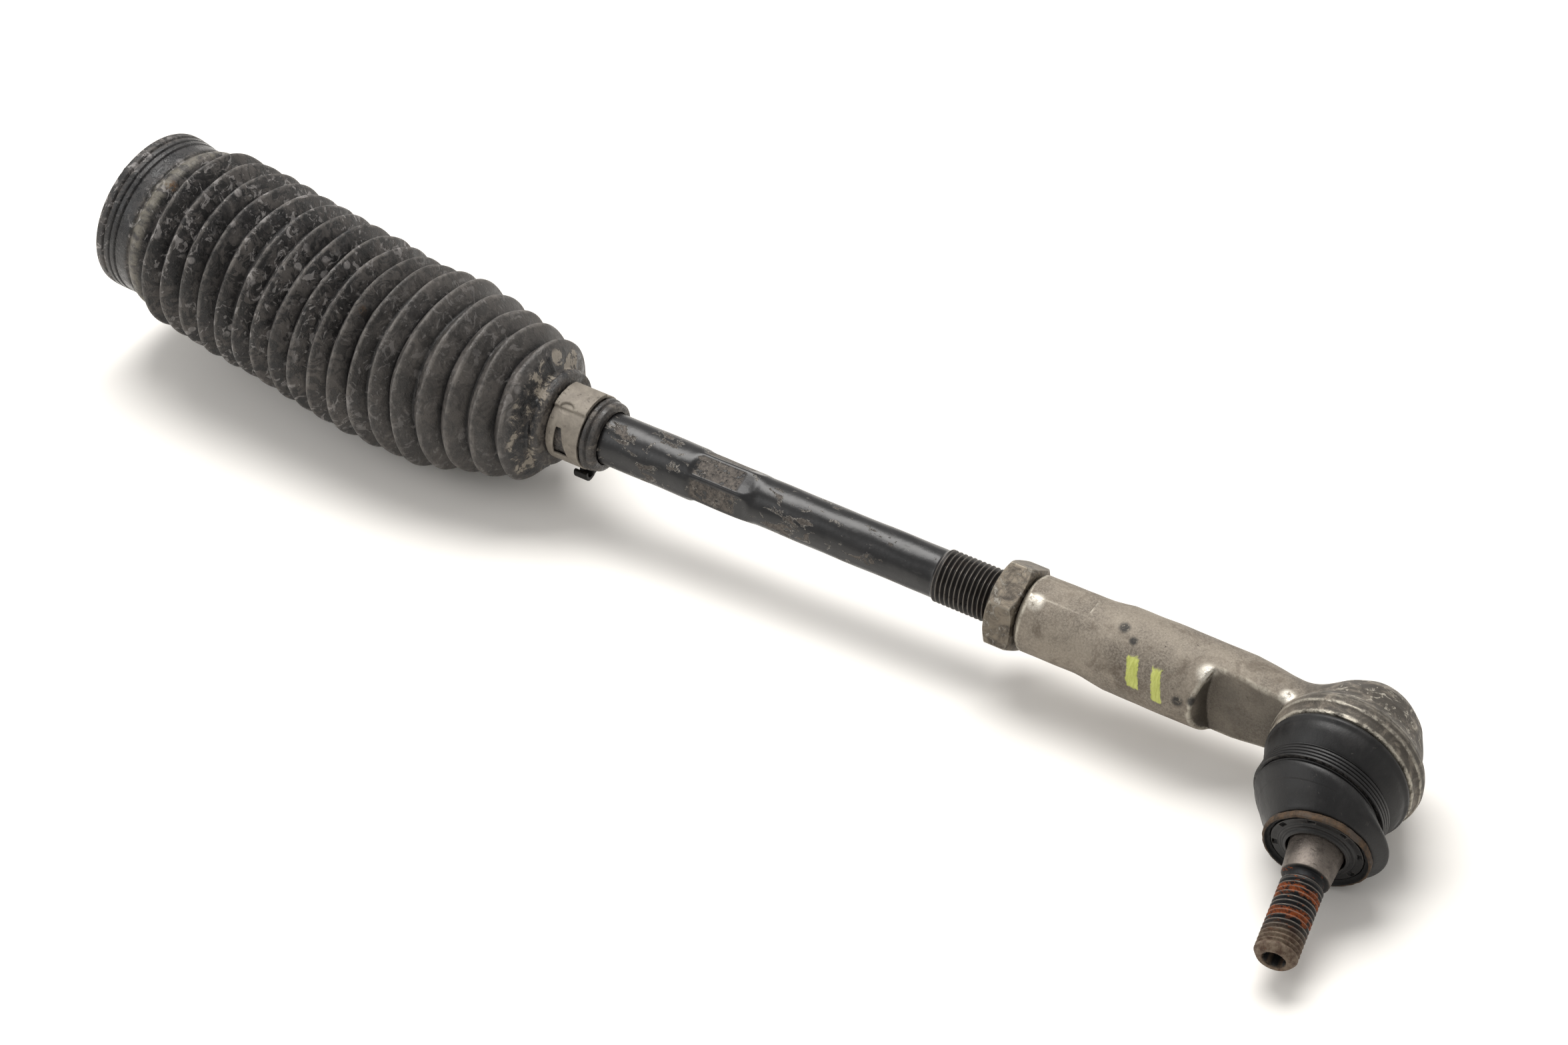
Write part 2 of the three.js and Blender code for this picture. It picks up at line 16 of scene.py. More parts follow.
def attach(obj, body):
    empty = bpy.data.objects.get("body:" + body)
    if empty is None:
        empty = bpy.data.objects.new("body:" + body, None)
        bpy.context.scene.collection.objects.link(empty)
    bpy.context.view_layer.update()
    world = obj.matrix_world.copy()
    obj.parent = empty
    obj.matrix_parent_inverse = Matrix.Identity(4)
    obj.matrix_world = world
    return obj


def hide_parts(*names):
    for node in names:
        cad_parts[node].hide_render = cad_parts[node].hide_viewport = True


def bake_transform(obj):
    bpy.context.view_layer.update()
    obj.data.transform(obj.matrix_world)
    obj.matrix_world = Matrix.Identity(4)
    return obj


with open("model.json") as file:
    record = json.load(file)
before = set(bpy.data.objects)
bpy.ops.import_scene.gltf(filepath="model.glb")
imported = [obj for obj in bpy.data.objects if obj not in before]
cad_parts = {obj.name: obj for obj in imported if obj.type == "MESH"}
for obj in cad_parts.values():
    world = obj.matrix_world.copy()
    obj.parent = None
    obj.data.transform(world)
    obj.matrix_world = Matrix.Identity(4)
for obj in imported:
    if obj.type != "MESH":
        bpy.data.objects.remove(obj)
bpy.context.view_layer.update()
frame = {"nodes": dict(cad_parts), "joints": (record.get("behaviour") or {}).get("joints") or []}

MM = 0.001
TURN = 2 * math.pi
GAP = 0.35


# ---------------------------------------------------------------- places in the frame

class Place:
    """Three axes and an origin in the frame. Millimetres along the axes become metres."""

    def __init__(self, origin, x, y, z):
        self.origin = np.array(origin, float)
        self.axes = np.array([x, y, z], float)

    def put(self, points):
        return self.origin + MM * (points @ self.axes)

    def read(self, points):
        return (np.asarray(points, float) - self.origin) @ self.axes.T / MM


joints = {joint["name"]: joint for joint in frame["joints"]}


def axis_of(name):
    return np.array(joints[name]["axis"], float)


def point_of(name):
    return np.array(joints[name]["pos_m"], float)


outer_ball = point_of("stud_swing_down")
inner_ball = point_of("rack_swing_up")
rod_x = axis_of("rod_spin")
rod_y = axis_of("rack_swing_up")
rod_z = np.cross(rod_x, rod_y)
rod_line = Place(outer_ball, rod_x, rod_y, rod_z)
cup_line = Place(outer_ball, -rod_y, rod_x, rod_z)
stud_down = axis_of("stud_spin")
stud_z = axis_of("stud_swing_side")
stud_line = Place(outer_ball, stud_down, np.cross(-stud_down, stud_z), stud_z)
INNER_BALL_X = rod_line.read(inner_ball)[0]
rack_x = -axis_of("bellows_stretch")
rack_z = axis_of("rack_swing_side")
rack_line = Place(inner_ball - MM * INNER_BALL_X * rack_x, rack_x, np.cross(rack_z, rack_x), rack_z)
rack_in_rod = rack_line.axes[0] @ rod_line.axes.T
RACK_DRIFT = math.asin(rack_in_rod[1])
RACK_LIFT = math.atan2(-rack_in_rod[2], rack_in_rod[0])
stud_in_cup = stud_line.axes @ cup_line.axes.T


def extent(node, place):
    """Lowest x, highest x and largest radius of a CAD node along a line, in millimetres."""
    mesh = frame["nodes"][node].data
    flat = np.zeros(3 * len(mesh.vertices), np.float32)
    mesh.vertices.foreach_get("co", flat)
    local = place.read(flat.reshape(-1, 3))
    return local[:, 0].min(), local[:, 0].max(), np.hypot(local[:, 1], local[:, 2]).max()


_, ROD_TO, INNER_BALL_R = extent("tie_rod_shaft", rod_line)
NUT_FROM, NUT_TO, NUT_CORNER_R = extent("jam_nut", rod_line)
CLAMP_FROM, CLAMP_TO, _ = extent("bellows_clamp", rod_line)
COLLAR_RIM, _, _ = extent("bellows_collar", rack_line)
_, NECK_TO, _ = extent("bellows_neck", rod_line)
_, STUD_TO, BALL_R = extent("ball_stud", stud_line)
SHANK_FROM = NUT_TO + GAP

# Inner rod
ROD_R = 8.0
ROD_NECK_R = 5.9
ROD_THIN_R = 7.2
ROD_STEP = -187.0
FLATS_FROM = -209.0
FLATS_ACROSS = 14.2
ROD_THREAD_FROM = -126.5
ROD_THREAD_R = 7.9
THREAD_PITCH = 1.5
FLATS_TURN = math.radians(8)

# Bellows: twelve folds at one pitch, then five wider ones
FIRST_RIDGE = -396.1
REAR_PITCH = 7.5
FRONT_PITCH = 8.25
LAST_REAR_RIDGE = FIRST_RIDGE + 12 * REAR_PITCH
RIDGE_X = np.concatenate([FIRST_RIDGE + REAR_PITCH * np.arange(13),
                          LAST_REAR_RIDGE + FRONT_PITCH * np.arange(1, 6)])
RIDGE_R = np.array([29.5] * 14 + [27.6, 25.7, 24.3, 22.0])
VALLEY_X = (RIDGE_X[1:] + RIDGE_X[:-1]) / 2
FOLDS_FROM = FIRST_RIDGE - REAR_PITCH / 2
FOLDS_TO = RIDGE_X[-1] + 4.1
VALLEY_DEPTH = 4.6
WALL = 1.5
BEND_FROM = -302.0
BEND_TO = -340.0
FRONT_CUT = VALLEY_X[12]
MIDDLE_CUT = VALLEY_X[10]
REAR_CUT = VALLEY_X[7]
COLLAR_END = -403.5
COLLAR_BORE_R = 23.1
NECK_R = 10.3
PARTING = math.radians(116)

# Outer housing
SHANK_R = 11.3
SHANK_STEP = -79.0
ARM_R = 12.4
CUP_R = 21.8
CUP_MOUTH = 12.0
CUP_BACK = 17.3
SOCKET_R = 15.3
BORE_R = 8.25
BORE_END = -56.0
RELIEF_R = 42.0
RELIEF_AT = 4.5

# Boot and stud, measured from the ball's centre
COLLAR_R = 19.9
COIL_FROM = 19.5
COIL_SEAT_R = 17.4
COLLAR_TO = 24.5
BULGE_R = 19.0
DROOP = 4.5
BULGE_MIDDLE = 29.2
RING_AT = 35.0
RING_R = 14.7
TAPER_TO = 45.0
STUD_THREAD_R = 5.9


# ---------------------------------------------------------------- surfaces

def smooth(low, high, value):
    """0 below low, 1 above high, and a smooth step between them."""
    t = np.clip((value - low) / (high - low), 0, 1)
    return t * t * (3 - 2 * t)


def bump(value, centre, width):
    """A bell of height 1 round centre."""
    return np.exp(-((value - centre) / width) ** 2)


def unevenness(points, size, seed, waves=14):
    """Sum of sine waves of about one size in seeded random directions, from about -1 to 1."""
    draw = np.random.default_rng(seed)
    direction = draw.normal(size=(waves, 3))
    direction /= np.linalg.norm(direction, axis=1)[:, None]
    direction *= TURN / (size * draw.uniform(0.6, 1.6, waves))[:, None]
    phase = draw.uniform(0, TURN, waves)
    return np.sin(points @ direction.T + phase).sum(-1) / math.sqrt(2 * waves)


def rounded(corners, radius=0.3, steps=4, closed=False):
    """An outline whose corners are quadratic arcs. A corner is (x, r) or (x, r, own radius)."""
    points = np.array([corner[:2] for corner in corners], float)
    cut = np.array([corner[2] if len(corner) > 2 else radius for corner in corners])
    back = np.roll(points, 1, 0) - points
    on = np.roll(points, -1, 0) - points
    back_length = np.linalg.norm(back, axis=1)
    on_length = np.linalg.norm(on, axis=1)
    start = points + back * (np.minimum(cut, 0.48 * back_length) / back_length)[:, None]
    end = points + on * (np.minimum(cut, 0.48 * on_length) / on_length)[:, None]
    t = np.linspace(0, 1, steps + 1)[None, :, None]
    arcs = (1 - t) ** 2 * start[:, None] + 2 * t * (1 - t) * points[:, None] + t ** 2 * end[:, None]
    if not closed:
        arcs[0] = points[0]
        arcs[-1] = points[-1]
    line = arcs.reshape(-1, 2)
    step = np.linalg.norm(np.diff(line, axis=0, prepend=line[-1:] if closed else line[:1] - 1), axis=1)
    return line[step > 1e-6]


def spaced(outline, longest, closed=False):
    """The outline with its long stretches cut into equal steps no longer than longest."""
    if closed:
        outline = np.vstack([outline, outline[:1]])
    length = np.linalg.norm(np.diff(outline, axis=0), axis=1)
    travelled = np.concatenate([[0], np.cumsum(length)])
    counts = np.maximum(1, np.ceil(length / longest)).astype(int)
    stops = [np.linspace(a, b, n, endpoint=False)
             for a, b, n in zip(travelled[:-1], travelled[1:], counts)]
    stops = np.concatenate(stops + ([] if closed else [travelled[-1:]]))
    return np.stack([np.interp(stops, travelled, outline[:, i]) for i in (0, 1)], 1)


def edge_share(points, corners, normals, passes=2):
    """How far each vertex stands out from the mean of its neighbours: above 0 on an outer edge,
    below 0 in a crease."""
    a = corners.ravel()
    b = np.roll(corners, -1, 1).ravel()
    count = np.bincount(a, minlength=len(points)) + np.bincount(b, minlength=len(points))
    count = np.maximum(count, 1)

    def mean(values):
        total = np.bincount(a, values[b], len(points)) + np.bincount(b, values[a], len(points))
        return total / count

    middle = np.stack([mean(points[:, i]) for i in range(3)], 1)
    length = np.linalg.norm(points[a] - points[b], axis=1)
    size = (np.bincount(a, length, len(points)) + np.bincount(b, length, len(points))) / count
    share = np.einsum("ij,ij->i", normals, points - middle) / np.maximum(size, 1e-9)
    for _ in range(passes):
        share = 0.5 * share + 0.5 * mean(share)
    return share


def piece(name, local, place, quads, triangles=None, bend=None, sharp=42, **marks):
    """A closed mesh from vertices in millimetres and faces by index, turned inside out where its
    signed volume (the sum of a . b x c over its triangles) is below zero. It keeps the vertices'
    own millimetres in the attribute "place", and edge_share in "edge" where the marks give none."""
    triangles = np.zeros((0, 3), int) if triangles is None else triangles
    points = place.put(local if bend is None else bend(local))
    fan = np.vstack([quads[:, [0, 1, 2]], quads[:, [0, 2, 3]], triangles])
    a, b, c = (points[fan[:, i]] - points.mean(0) for i in range(3))
    if np.einsum("ij,ij->i", a, np.cross(b, c)).sum() < 0:
        quads = quads[:, ::-1]
        triangles = triangles[:, ::-1]
    mesh = bpy.data.meshes.new(name)
    mesh.vertices.add(len(points))
    mesh.vertices.foreach_set("co", points.astype(np.float32).ravel())
    corners = np.concatenate([triangles.ravel(), quads.ravel()])
    mesh.loops.add(len(corners))
    mesh.loops.foreach_set("vertex_index", corners.astype(np.int32))
    starts = np.concatenate([3 * np.arange(len(triangles)),
                             3 * len(triangles) + 4 * np.arange(len(quads))])
    mesh.polygons.add(len(starts))
    mesh.polygons.foreach_set("loop_start", starts.astype(np.int32))
    mesh.polygons.foreach_set("use_smooth", np.ones(len(starts), bool))
    mesh.update(calc_edges=True)
    mesh.set_sharp_from_angle(angle=math.radians(sharp))
    normals = np.zeros(3 * len(points), np.float32)
    mesh.vertex_normals.foreach_get("vector", normals)
    if "edge" not in marks:
        marks["edge"] = edge_share(points, quads, normals.reshape(-1, 3))
    spot = mesh.attributes.new("place", "FLOAT_VECTOR", "POINT")
    spot.data.foreach_set("vector", local.astype(np.float32).ravel())
    for mark, values in marks.items():
        attribute = mesh.attributes.new(mark, "FLOAT", "POINT")
        attribute.data.foreach_set("value", np.asarray(values, np.float32).ravel())
    made = bpy.data.objects.new(name, mesh)
    bpy.context.scene.collection.objects.link(made)
    return made


def turned(name, outline, place, sides=96, longest=1.5, closed=False, swell=None, bend=None,
           mark=None, **options):
    """A turned surface: row i, column j holds the outline's point i at angle j. swell(x, r, angle)
    gives x and r back changed. An open outline starts and ends on the axis, at one vertex each;
    a closed one is a ring. mark(x, r, angle) gives a dictionary of values for the material."""
    outline = spaced(np.asarray(outline, float), longest, closed)
    angle = np.linspace(0, TURN, sides, endpoint=False)[None, :]
    x = np.repeat(outline[:, :1], sides, 1)
    r = np.repeat(outline[:, 1:], sides, 1)
    marks = mark(x, r, angle) if mark else {}
    if swell:
        x, r = swell(x, r, angle)
    rows = np.stack([x, r * np.cos(angle), r * np.sin(angle)], -1)
    count = len(rows)
    index = np.arange(count * sides).reshape(count, sides)
    if closed:
        a, b = index, np.roll(index, -1, 0)
    else:
        a, b = index[1:-2], index[2:-1]
    quads = np.stack([a, np.roll(a, -1, 1), np.roll(b, -1, 1), b], -1).reshape(-1, 4)
    if closed:
        flat = {key: np.broadcast_to(value, x.shape) for key, value in marks.items()}
        return piece(name, rows.reshape(-1, 3), place, quads, bend=bend, **flat, **options)
    low, high = index[1], index[-2]
    triangles = np.vstack([
        np.stack([np.full(sides, index[0, 0]), np.roll(low, -1), low], 1),
        np.stack([np.full(sides, index[-1, 0]), high, np.roll(high, -1)], 1)])
    kept = np.concatenate([index[0, :1], index[1:-1].ravel(), index[-1, :1]])
    renumbered = np.zeros(count * sides, int)
    renumbered[kept] = np.arange(len(kept))
    flat = {key: np.broadcast_to(value, x.shape).reshape(-1)[kept] for key, value in marks.items()}
    return piece(name, rows.reshape(-1, 3)[kept], place, renumbered[quads], renumbered[triangles],
                 bend=bend, **flat, **options)


def drawn_from_field(name, field, low, high, step, place, **options):
    """A closed surface where field(points) is zero, for a shape that is neither turned nor swept.
    Each cell that the surface crosses gets one vertex, the mean of the crossings on its edges,
    and each crossed edge gets the face between its four cells. Two steps down the field's slope
    then bring the vertices onto the surface."""
    axes = [np.arange(a, b + step, step) for a, b in zip(low, high)]
    size = np.array([len(axis) for axis in axes])
    value = field(np.stack(np.meshgrid(*axes, indexing="ij"), -1))
    cells = int(np.prod(size))
    total = np.zeros((cells, 3))
    count = np.zeros(cells)
    faces = []
    for d in range(3):
        here = value[tuple(slice(0, -1) if i == d else slice(None) for i in range(3))]
        there = value[tuple(slice(1, None) if i == d else slice(None) for i in range(3))]
        node = np.argwhere((here < 0) != (there < 0))
        a = here[tuple(node.T)]
        b = there[tuple(node.T)]
        crossing = node.astype(float)
        crossing[:, d] += a / (a - b)
        u, v = (d + 1) % 3, (d + 2) % 3
        around = []
        for du, dv in ((0, 0), (1, 0), (1, 1), (0, 1)):
            cell = node.copy()
            cell[:, u] -= du
            cell[:, v] -= dv
            number = np.ravel_multi_index(tuple(cell.T), size)
            around.append(number)
            count += np.bincount(number, minlength=cells)
            for i in range(3):
                total[:, i] += np.bincount(number, crossing[:, i], cells)
        quad = np.stack(around, 1)
        quad[a > 0] = quad[a > 0][:, ::-1]
        faces.append(quad)
    used = np.flatnonzero(count)
    renumbered = np.zeros(cells, int)
    renumbered[used] = np.arange(len(used))
    points = np.array(low) + step * total[used] / count[used][:, None]
    nudge = 0.02
    for _ in range(2):
        here = field(points)
        slope = np.stack([(field(points + nudge * unit) - here) / nudge for unit in np.eye(3)], 1)
        steep = np.maximum((slope ** 2).sum(1), 0.3)
        move = -(here / steep)[:, None] * slope
        points = points + np.clip(move, -0.3 * step, 0.3 * step)
    return piece(name, points, place, renumbered[np.vstack(faces)], **options)


def join_smooth(a, b, width):
    """The union of two fields with a fillet of about that width."""
    h = np.clip(0.5 + 0.5 * (b - a) / width, 0, 1)
    return b + (a - b) * h - width * h * (1 - h)


def cut_smooth(a, b, width):
    """Field a with field b taken out of it, with a rounded edge."""
    return -join_smooth(-a, b, width)


def thread(x, angle, first, last, pitch, depth):
    """Radius lost to a right-handed thread: a rounded V once per pitch, faded in at its ends."""
    phase = (x / pitch - angle / TURN) % 1
    groove = 1 - np.clip(np.abs(2 * phase - 1) * 1.25 - 0.12, 0, 1)
    return depth * groove * smooth(first, first + pitch, x) * (1 - smooth(last - pitch, last, x))


def hexagon(angle, across_flats, turn=0.0):
    """Distance from the axis to a hexagon's side at each angle."""
    part = (angle + turn + TURN / 12) % (TURN / 6) - TURN / 12
    return across_flats / 2 / np.cos(part)


# ---------------------------------------------------------------- materials

class Value:
    """A shader socket. Python's operators on it add Math nodes."""

    def __init__(self, finish, socket):
        self.finish = finish
        self.socket = socket

    def _with(self, operation, *others):
        numbers = dict(enumerate(others))
        return self.finish.node("ShaderNodeMath", {"operation": operation}, numbers)

    def __add__(self, other):
        return self._with("ADD", self, other)

    def __radd__(self, other):
        return self._with("ADD", other, self)

    def __sub__(self, other):
        return self._with("SUBTRACT", self, other)

    def __rsub__(self, other):
        return self._with("SUBTRACT", other, self)

    def __mul__(self, other):
        return self._with("MULTIPLY", self, other)

    def __rmul__(self, other):
        return self._with("MULTIPLY", other, self)

    def __truediv__(self, other):
        return self._with("DIVIDE", self, other)

    def __pow__(self, other):
        return self._with("POWER", self, other)

    def __abs__(self):
        return self._with("ABSOLUTE", self)

    def most(self, other):
        return self._with("MAXIMUM", self, other)

    def step(self, low, high):
        """0 below low, 1 above high, smooth between them."""
        return self.finish.node("ShaderNodeMapRange", {"interpolation_type": "SMOOTHSTEP"},
                                {"Value": self, "From Min": low, "From Max": high})

    def within(self, low, high, soft):
        """1 between low and high, with soft ends."""
        return self.step(low - soft, low + soft) * (1 - self.step(high - soft, high + soft))


def tone(code):
    """A colour written as on screen, such as "8a8478", as linear red, green, blue and alpha."""
    parts = np.array([int(code[i:i + 2], 16) / 255 for i in (0, 2, 4)])
    linear = np.where(parts <= 0.04045, parts / 12.92, ((parts + 0.055) / 1.055) ** 2.4)
    return (*(float(part) for part in linear), 1.0)


class Finish:
    """A material: one Principled shader and what feeds it."""

    def __init__(self, name, from_object=False):
        self.material = bpy.data.materials.new(name)
        self.material.use_nodes = True
        self.tree = self.material.node_tree
        self.tree.nodes.clear()
        if from_object:
            metres = self.node("ShaderNodeTexCoord", output="Object")
            self.place = self.node("ShaderNodeVectorMath", {"operation": "SCALE"},
                                   {0: metres, "Scale": 1 / MM})
        else:
            self.place = self.node("ShaderNodeAttribute", {"attribute_name": "place"}, output="Vector")

    def node(self, kind, settings=None, inputs=None, output=0):
        """A node of one kind, with its settings, the values or links of its inputs, and the
        output that is used."""
        made = self.tree.nodes.new(kind)
        for key, value in (settings or {}).items():
            setattr(made, key, value)
        for key, value in (inputs or {}).items():
            if isinstance(value, Value):
                self.tree.links.new(value.socket, made.inputs[key])
            else:
                made.inputs[key].default_value = value
        return Value(self, made.outputs[output])

    def mark(self, name):
        return self.node("ShaderNodeAttribute", {"attribute_name": name}, output="Fac")

    def part(self, letter):
        """One coordinate of the place in millimetres."""
        return self.node("ShaderNodeSeparateXYZ", inputs={0: self.place}, output=letter)

    def from_axis(self):
        """Distance from the piece's own line in millimetres."""
        return (self.part("Y") ** 2 + self.part("Z") ** 2) ** 0.5

    def noise(self, size, detail=4.0, rough=0.6, shift=0.0, warp=0.0):
        """Noise whose features are about size millimetres across; a triple stretches it."""
        size = size if isinstance(size, tuple) else (size, size, size)
        spot = self.node("ShaderNodeMapping", {"vector_type": "POINT"}, {
            "Vector": self.place, "Scale": tuple(1 / s for s in size),
            "Location": (shift, 0.7 * shift, 1.3 * shift)})
        return self.node("ShaderNodeTexNoise", {}, {
            "Vector": spot, "Scale": 1.0, "Detail": detail, "Roughness": rough, "Distortion": warp})

    def spots(self, size, shift=0.0):
        """Distance from the nearest of scattered points, which lie about size apart."""
        spot = self.node("ShaderNodeMapping", {"vector_type": "POINT"}, {
            "Vector": self.place, "Scale": (1 / size,) * 3, "Location": (shift, shift, shift)})
        return self.node("ShaderNodeTexVoronoi", {}, {
            "Vector": spot, "Scale": 1.0, "Randomness": 1.0}, output="Distance")

    def near(self, *points):
        """1 at any of the points (x, y, z, size), falling to 0 at size millimetres from it."""
        shares = []
        for x, y, z, size in points:
            away = self.node("ShaderNodeVectorMath", {"operation": "DISTANCE"},
                             {0: self.place, 1: (x, y, z)}, output="Value")
            shares.append(1 - away.step(0.35 * size, size))
        return functools.reduce(Value.most, shares)

    def mix(self, share, a, b):
        """Colour a where share is 0, colour b where it is 1."""
        a, b = (tone(c) if isinstance(c, str) else c for c in (a, b))
        return self.node("ShaderNodeMix", {"data_type": "RGBA"}, {0: share, 6: a, 7: b}, output=2)

    def finish(self, colour, roughness, metallic=0.0, height=None, depth=0.1, coat=None, **constants):
        """Links the shader. height is in shares of depth millimetres."""
        inputs = {"Base Color": colour, "Roughness": roughness, "Metallic": metallic}
        if height is not None:
            inputs["Normal"] = self.node("ShaderNodeBump", {}, {
                "Strength": 1.0, "Distance": depth * MM, "Height": height})
        if coat is not None:
            inputs["Coat Weight"] = coat
        for key, value in constants.items():
            inputs[key.replace("_", " ")] = value
        shader = self.node("ShaderNodeBsdfPrincipled", {}, inputs)
        output = self.tree.nodes.new("ShaderNodeOutputMaterial")
        self.tree.links.new(shader.socket, output.inputs["Surface"])
        return self.material


def bellows_rubber():
    """Old black rubber: grey bloom, glossy black where it is rubbed, pale dried splashes, a thin
    scuffed line on each crest that is partly a painted highlight, painted shade in the valleys,
    and a flaking skin on the small end."""
    f = Finish("bellows_rubber")
    x = f.part("X")
    crest = f.mark("crest")
    bloom = f.noise((16.0, 11.0, 11.0), 6, 0.68, 3.0, 0.8)
    dusty = bloom.step(0.40, 0.62)
    streaks = f.noise((4.0, 1.5, 6.0), 6, 0.72, 11.0, 0.9).step(0.44, 0.70)
    colour = f.mix(dusty, "1f1d1d", "4f4b48")
    colour = f.mix(streaks * (0.25 + 0.35 * dusty), colour, "65605c")
    small_side = x.step(-345.0, -295.0)
    colour = f.mix(small_side * 0.35, colour, "55514d")
    black = f.noise((5.5, 4.0, 4.0), 6, 0.72, 21.0, 1.2).step(0.50, 0.53) * (1 - 0.55 * small_side)
    colour = f.mix(black * 0.85, colour, "0e0e0f")
    # Painted shade: the valleys between the folds, and the inside, darkened to near black.
    colour = f.mix((1 - crest.step(0.0, 0.34)) * 0.9, colour, "0c0c0d")
    # Each crest's thin pale line: partly scuffed rubber, partly a painted highlight.
    scuff_and_highlight = crest.step(0.88, 0.97) * f.noise((3.0, 5.0, 5.0), 6, 0.78, 5.0).step(0.42, 0.64)
    colour = f.mix(scuff_and_highlight * 0.5, colour, "7c7772")
    fleck = f.noise((1.5, 1.9, 1.9), 5, 0.66, 33.0, 0.9).step(0.61, 0.64)
    splash = f.noise((3.2, 4.6, 4.6), 5, 0.62, 57.0, 1.3).step(0.575, 0.60)
    where = f.noise(24.0, 2, 0.5, 14.0).step(0.36, 0.50)
    drops = 1 - f.spots(5.2, 4.0).step(0.20, 0.30)
    drops = drops * f.noise(17.0, 3, 0.6, 71.0).step(0.52, 0.58)
    pale = (fleck * 0.6).most(splash).most(drops) * where * (1 - small_side * 0.6)
    colour = f.mix(pale * (0.45 + 0.4 * streaks), colour, "a29e9c")
    rim_colour = f.noise((9.0, 2.5, 2.5), 5, 0.7, 9.0).step(0.36, 0.6)
    colour = f.mix(x.within(-406.5, -401.5, 0.9) * rim_colour * 0.65, colour, "7c776b")
    groove_band = x.within(-415.5, -408.0, 0.8)
    colour = f.mix(groove_band * 0.75, colour, "18181a")
    small_end = x.step(-263.6, -262.4)
    flakes = f.noise((6.0, 5.0, 5.0), 6, 0.74, 47.0, 0.5)
    tan = small_end * flakes.step(0.535, 0.56)
    shiny = small_end * (1 - flakes.step(0.47, 0.50))
    colour = f.mix(small_end * 0.7, colour, "3a3633")
    colour = f.mix(tan * 0.9, colour, "8b8377")
    colour = f.mix(shiny, colour, "101012")
    neck = x.step(-257.6, -257.0)
    colour = f.mix(neck * 0.8, colour, f.mix(flakes.step(0.4, 0.6), "23211f", "4a4541"))
    rust = f.near((-318.0, -14.0, 25.0, 2.6), (-402.0, -9.0, 24.0, 2.6))
    colour = f.mix(rust * f.noise(1.2, 4).step(0.40, 0.6), colour, "5e4325")
    gloss = 0.50 + 0.22 * dusty - 0.2 * black - 0.22 * shiny + 0.1 * pale - 0.18 * groove_band
    grit = f.noise(0.8, 5, 0.7) * 0.4 + f.noise(4.0, 5, 0.65, 2.0, 1.0)
    height = grit + pale * 0.3 + tan * 0.7 - black * 0.15
    return f.finish(colour, gloss, 0.0, height, 0.3)


def rod_paint():
    """Black gloss paint over steel, peeled to grey-brown in patches near the small end and on the
    wrench flats, with a pale line round each patch, and a dark oiled thread."""
    f = Finish("rod_paint")
    x = f.part("X")
    edge = f.mark("edge")
    facing = 1 - f.part("Y").step(-6.5, -1.5)
    patch = f.noise((6.5, 3.4, 3.4), 6, 0.62, 4.0, 0.6)
    zone = x.within(-243.0, -214.0, 6.0) * 0.05 + x.within(-184.0, -168.0, 5.0) * 0.12 * facing
    level = patch + zone
    bare = level.step(0.625, 0.64)
    rim = level.within(0.600, 0.620, 0.006) * x.within(-245.0, -150.0, 5.0)
    panel = x.within(FLATS_FROM + 1.5, ROD_STEP - 5.5, 0.6) * f.mark("flat")
    panel = panel * f.noise(2.6, 6, 0.72, 9.0).step(0.40, 0.45)
    bare = bare.most(panel)
    paint = f.mix(f.noise(9.0, 5, 0.6, 1.0).step(0.35, 0.7), "0d0d0f", "1b1a1b")
    dust = f.noise((4.0, 1.2, 1.2), 6, 0.75, 28.0).step(0.55, 0.75)
    paint = f.mix(dust * 0.35, paint, "4b4846")
    metal = f.mix(f.noise(1.1, 5, 0.75, 6.0).step(0.34, 0.66), "332f2c", "635c55")
    colour = f.mix(bare, paint, metal)
    colour = f.mix(rim * 0.7, colour, "9b958d")
    chip = f.noise(1.5, 5, 0.7, 17.0).step(0.68, 0.70)
    colour = f.mix(chip * 0.6, colour, "66615b")
    threaded = x.step(ROD_THREAD_FROM - 0.4, ROD_THREAD_FROM + 0.4)
    crest = edge.step(0.02, 0.16)
    oiled = f.mix(crest, "252322", "77716a")
    oiled = f.mix(f.noise(3.0, 5, 0.7, 2.0).step(0.5, 0.7) * 0.4, oiled, "40332a")
    colour = f.mix(threaded, colour, oiled)
    rough = 0.22 + 0.16 * f.noise(6.0, 5, 0.65, 12.0) + 0.34 * bare + 0.16 * dust + 0.16 * threaded
    height = f.noise(1.6, 5, 0.6, 3.0) * 0.3 - bare * 0.8 + rim * 0.8 + f.noise(9.0, 3, 0.5, 5.0)
    return f.finish(colour, rough, bare * 0.3 + threaded * 0.5, height, 0.15)


